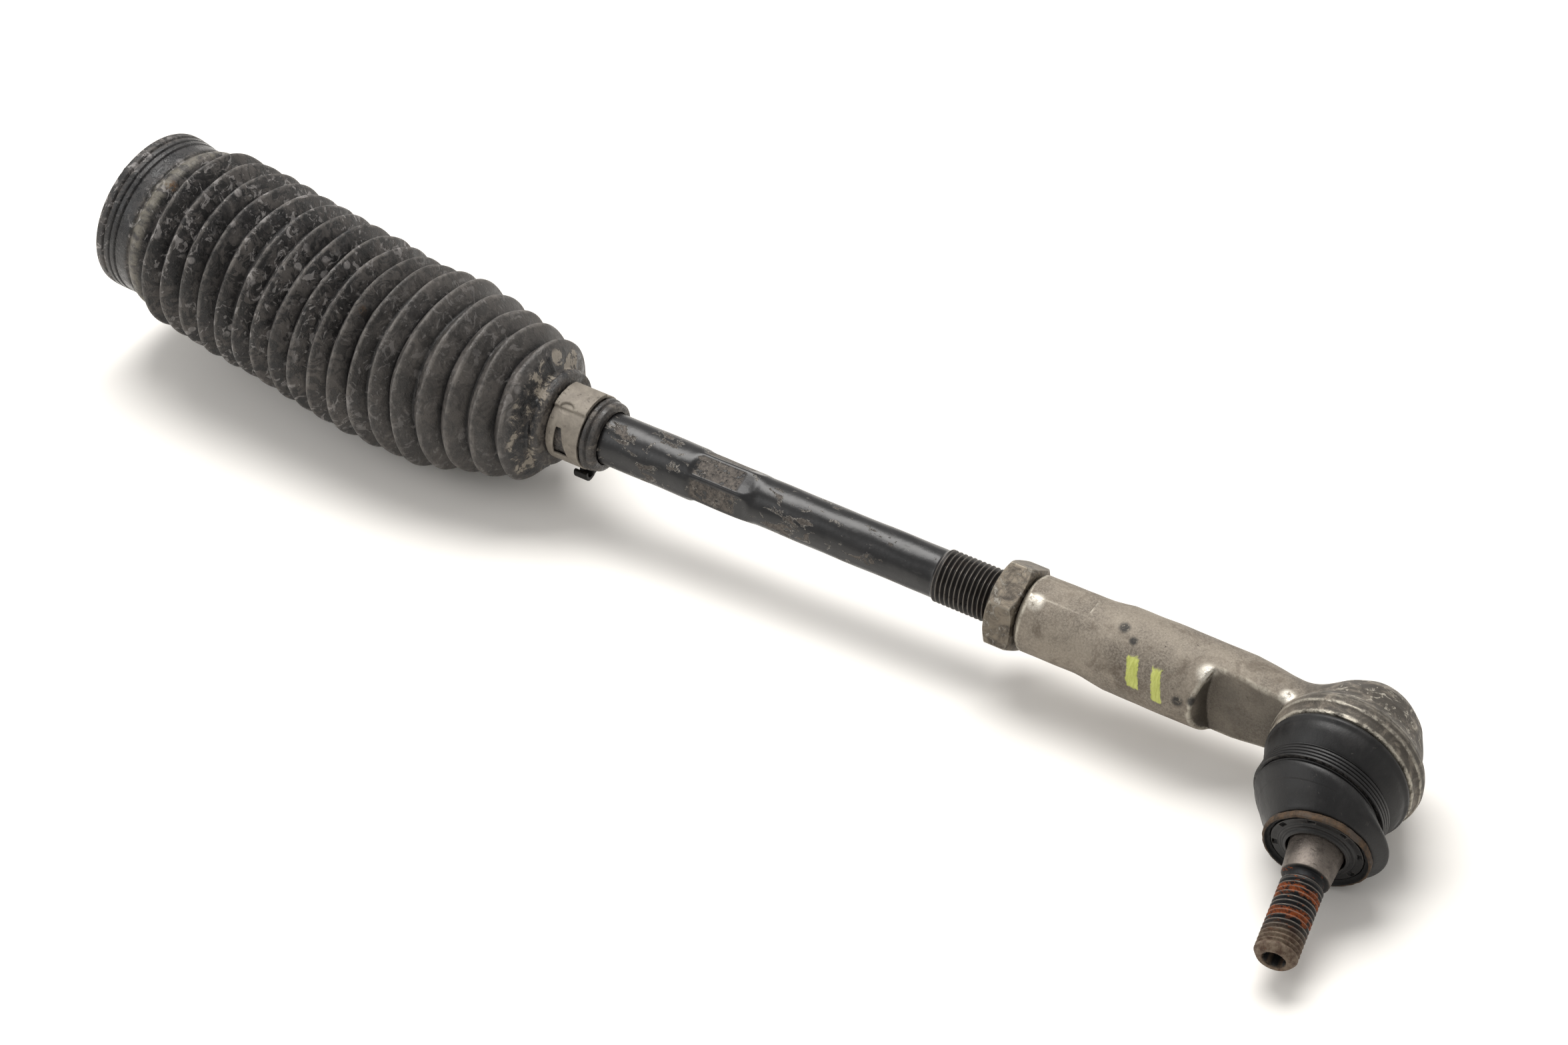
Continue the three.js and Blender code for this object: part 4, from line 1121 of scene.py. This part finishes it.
def beside_cut(distance):
    """A point so far from the middle of the cut between the bulge's two walls, square to it."""
    x = BULGE_MIDDLE
    r = BULGE_R
    ring = leaned(np.array([[x, r, 0], [x, 0, r], [x, -r, 0], [x, 0, -r]], float))
    square = np.cross(ring[0] - ring[2], ring[1] - ring[3])
    return tuple(cup_line.put(ring.mean(0) + distance * square / np.linalg.norm(square)))


def boot_ring():
    """The thin steel ring that holds the boot's lower edge, slightly ragged with rust."""
    outline = rounded([
        (RING_AT - 1.2, RING_R - 1.9), (RING_AT - 1.2, RING_R - 0.3, 0.4), (RING_AT - 0.4, RING_R + 0.1, 0.4),
        (RING_AT + 0.9, RING_R, 0.3), (RING_AT + 1.1, RING_R - 0.7, 0.3), (RING_AT + 0.2, RING_R - 1.2, 0.3),
        (RING_AT, RING_R - 1.9, 0.2)], 0.3, closed=True)

    def swell(x, r, angle):
        ragged = 0.06 * np.sin(13 * angle + 1) + 0.05 * np.sin(29 * angle)
        return x + 0.08 * np.sin(9 * angle), r + ragged

    return turned("boot_ring_steel", outline, stud_line, sides=160, longest=0.4, closed=True, swell=swell,
                  sharp=60)


def boot_seal():
    """The disc inside the ring: stepped rings, with a row of eight sunk windows and a lip that
    meets the stud's taper."""
    outer_r = RING_R - 1.9 - 0.25
    outline = rounded([
        (RING_AT - 1.1, 8.1), (RING_AT - 1.1, outer_r, 0.2), (RING_AT + 0.2, outer_r, 0.3),
        (RING_AT + 0.1, 10.6, 0.4), (RING_AT + 0.6, 10.2, 0.3), (RING_AT + 0.5, 9.3, 0.3),
        (RING_AT + 1.2, 8.9, 0.3), (RING_AT + 1.5, 8.1, 0.3)], 0.3, closed=True)

    def swell(x, r, angle):
        part = ((angle * 8 / TURN + 0.3) % 1 - 0.5) * TURN / 8 * r
        window = (1 - smooth(0.85, 1.05, np.abs(part))) * (1 - smooth(0.55, 0.7, np.abs(r - 11.5)))
        return np.where(x > RING_AT - 0.5, x - 0.75 * window, x), r

    return turned("boot_seal_rubber", outline, stud_line, sides=400, longest=0.16, closed=True, swell=swell,
                  sharp=60)


def ball_stud():
    """Ball, neck, seal land, taper, undercut, rolled thread, and a six-lobed socket in the tip."""
    neck_r = 6.6
    edge = math.asin(neck_r / BALL_R)
    sweep = np.linspace(math.pi, edge, 26)
    ball = np.stack([BALL_R * np.cos(sweep), BALL_R * np.sin(sweep)], 1)
    ball[0, 1] = 0
    thread_from = TAPER_TO + 3.0
    shank = rounded([
        ball[-1], (26, neck_r, 1.5), (30, 7.7, 1.0), (33, 7.7, 0.6), (TAPER_TO, 6.6, 0.25),
        (TAPER_TO + 0.3, 5.15, 0.3), (TAPER_TO + 2.3, 5.1, 0.4), (thread_from, STUD_THREAD_R, 0.3)], 0.4)
    threaded = np.stack([np.arange(thread_from + 0.14, STUD_TO - 1.8, 0.14)] * 2, 1)
    threaded[:, 1] = STUD_THREAD_R
    hole = 7.0
    tip = rounded([
        (STUD_TO - 1.8, STUD_THREAD_R), (STUD_TO - 0.4, 4.9, 0.5), (STUD_TO, 4.4, 0.3),
        (STUD_TO - 0.1, 3.35, 0.25), (STUD_TO - 0.9, 3.0, 0.3), (STUD_TO - hole, 2.9, 0.3),
        (STUD_TO - hole - 1.2, 0)], 0.3)

    def swell(x, r, angle):
        on_thread = (x > TAPER_TO + 2) & (r > 4.6)
        lost = thread(x, angle, thread_from, STUD_TO - 1.6, THREAD_PITCH, 0.78) * on_thread
        lobes = 0.42 * np.cos(6 * angle) * ((r < 3.2) & (x > STUD_TO - hole - 0.3) & (r > 0.5))
        return x, r - lost + lobes

    return turned("ball_stud_skin", np.vstack([ball[:-1], shank, threaded, tip]), stud_line, sides=120,
                  longest=0.7, swell=swell, sharp=50)


# ---------------------------------------------------------------- putting it together

def fit(made, material, slot, *replaced):
    """Gives a piece its finish and hides the CAD nodes that it stands for. The slot is not used."""
    made.data.materials.append(material)
    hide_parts(*replaced)
    return made


def refinish(node, material):
    """A new finish on a CAD node that stays in view."""
    shown = frame["nodes"][node]
    shown.data.materials.clear()
    shown.data.materials.append(material)


def on_line(place, x):
    return tuple(place.put(np.array([x, 0.0, 0.0])))


def build_bellows():
    rubber = bellows_rubber()
    front = fit(bellows_front(), rubber, "bellows_rubber", "bellows_neck", "bellows_front_folds")
    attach(front, "bellows_neck")
    fore = fit(bellows_middle("bellows_middle_folds_fore", MIDDLE_CUT, FRONT_CUT), rubber,
               "bellows_rubber", "bellows_middle_folds")
    on_line(rod_line, FRONT_CUT)
    on_line(rod_line, MIDDLE_CUT)
    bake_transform(fore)
    aft = fit(bellows_middle("bellows_middle_folds_aft", REAR_CUT, MIDDLE_CUT), rubber,
              "bellows_rubber", "bellows_middle_folds")
    on_line(rod_line, MIDDLE_CUT)
    on_line(rod_line, REAR_CUT)
    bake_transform(aft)
    rear = fit(bellows_rear(), rubber, "bellows_rubber", "bellows_rear_folds", "bellows_collar")
    on_line(rack_line, REAR_CUT)
    on_line(rack_line, COLLAR_END)
    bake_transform(rear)
    clamp = fit(bellows_clamp(), clamp_steel(), "clamp_steel", "bellows_clamp")
    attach(clamp, "bellows_neck")


def build_rod():
    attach(fit(tie_rod(), rod_paint(), "black_paint", "tie_rod_shaft"), "tie_rod")
    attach(fit(jam_nut(), worn_zinc(), "zinc_nut", "jam_nut"), "jam_nut")
    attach(fit(outer_housing(), forged_steel(), "forged_steel", "outer_housing"), "outer_housing")
    steel = plain_steel()
    nylon = seat_nylon()
    refinish("inner_joint_housing", steel)
    refinish("seat_retaining_ring", steel)
    refinish("inner_ball_seat", nylon)
    refinish("outer_ball_seat", nylon)


def build_ball_joint():
    rubber = boot_rubber()
    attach(fit(boot_collar(), rubber, "boot_rubber", "boot_collar"), "outer_housing")
    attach(fit(boot_coil(), rubber, "boot_spring_steel", "boot_spring_ring"), "outer_housing")
    upper = fit(boot_bulge("boot_bulge_upper", COLLAR_TO, BULGE_MIDDLE), rubber,
                "boot_rubber", "dust_boot")
    lower = fit(boot_bulge("boot_bulge_lower", BULGE_MIDDLE, RING_AT), rubber,
                "boot_rubber", "dust_boot")
    beside_cut(-3.3)
    beside_cut(-0.9)
    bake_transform(upper)
    beside_cut(0.9)
    beside_cut(3.4)
    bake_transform(lower)
    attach(fit(boot_ring(), ring_rust(), "rusty_steel", "boot_ring"), "boot_ring")
    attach(fit(boot_seal(), rubber, "boot_rubber", "boot_seal_disc"), "boot_ring")
    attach(fit(ball_stud(), stud_steel(), "stud_steel", "ball_stud"), "ball_stud")


# ---------------------------------------------------------------- floor, light and camera

def build_floor():
    """A pale sheet: a flat square of one face."""
    half = 4.0
    mesh = bpy.data.meshes.new("floor")
    corners = [(-half, -half, 0), (half, -half, 0), (half, half, 0), (-half, half, 0)]
    mesh.from_pydata(corners, [], [(0, 1, 2, 3)])
    floor = bpy.data.objects.new("floor", mesh)
    bpy.context.scene.collection.objects.link(floor)
    f = Finish("pale_floor", from_object=True)
    colour = f.mix(f.noise(60.0, 4, 0.6), "f7f4ef", "fcfaf6")
    mesh.materials.append(f.finish(colour, 0.55))


def area_light(name, size, power, place, colour=(1, 1, 1)):
    """A rectangular light at a place, in metres and watts, aimed at the origin."""
    data = bpy.data.lights.new(name, "AREA")
    data.shape = "RECTANGLE"
    data.size, data.size_y = size
    data.energy = power
    data.color = colour
    lamp = bpy.data.objects.new(name, data)
    bpy.context.scene.collection.objects.link(lamp)
    lamp.location = place
    lamp.rotation_euler = (-Vector(place)).to_track_quat("-Z", "Y").to_euler()


def build_light():
    """A soft box over the far side, a weak fill at the near side, and an even pale sky."""
    warm = (1.0, 0.985, 0.965)
    world = bpy.data.worlds.new("studio")
    world.use_nodes = True
    background = world.node_tree.nodes["Background"]
    background.inputs["Color"].default_value = (*warm, 1)
    background.inputs["Strength"].default_value = 0.55
    bpy.context.scene.world = world
    area_light("key_softbox", (1.3, 0.8), 25, (-0.38, 0.5, 1.4), warm)
    area_light("fill_softbox", (1.0, 1.0), 6, (-1.1, -0.9, 0.9))
    bpy.context.scene.view_settings.view_transform = "Standard"


def build_camera():
    """The camera looks down at the part from the wheel end's near side, rolled a little."""
    azimuth, elevation, roll = (math.radians(a) for a in (33.6, 41.2, 2.34))
    forward = Vector((-math.sin(azimuth) * math.cos(elevation), math.cos(azimuth) * math.cos(elevation),
                      -math.sin(elevation)))
    level = Vector((math.cos(azimuth), math.sin(azimuth), 0))
    down = level.cross(-forward)
    right = math.cos(roll) * level + math.sin(roll) * down
    up = -(math.cos(roll) * down - math.sin(roll) * level)
    data = bpy.data.cameras.new("camera")
    data.lens = 75.8
    data.sensor_width = 36
    data.clip_start = 0.05
    data.clip_end = 20
    camera = bpy.data.objects.new("camera", data)
    bpy.context.scene.collection.objects.link(camera)
    turn = Matrix((right, up, -forward)).transposed()
    camera.matrix_world = Matrix.Translation((0.41688, -0.57948, 0.64921)) @ turn.to_4x4()
    bpy.context.scene.camera = camera


build_camera()
build_floor()
build_light()
build_bellows()
build_rod()
build_ball_joint()
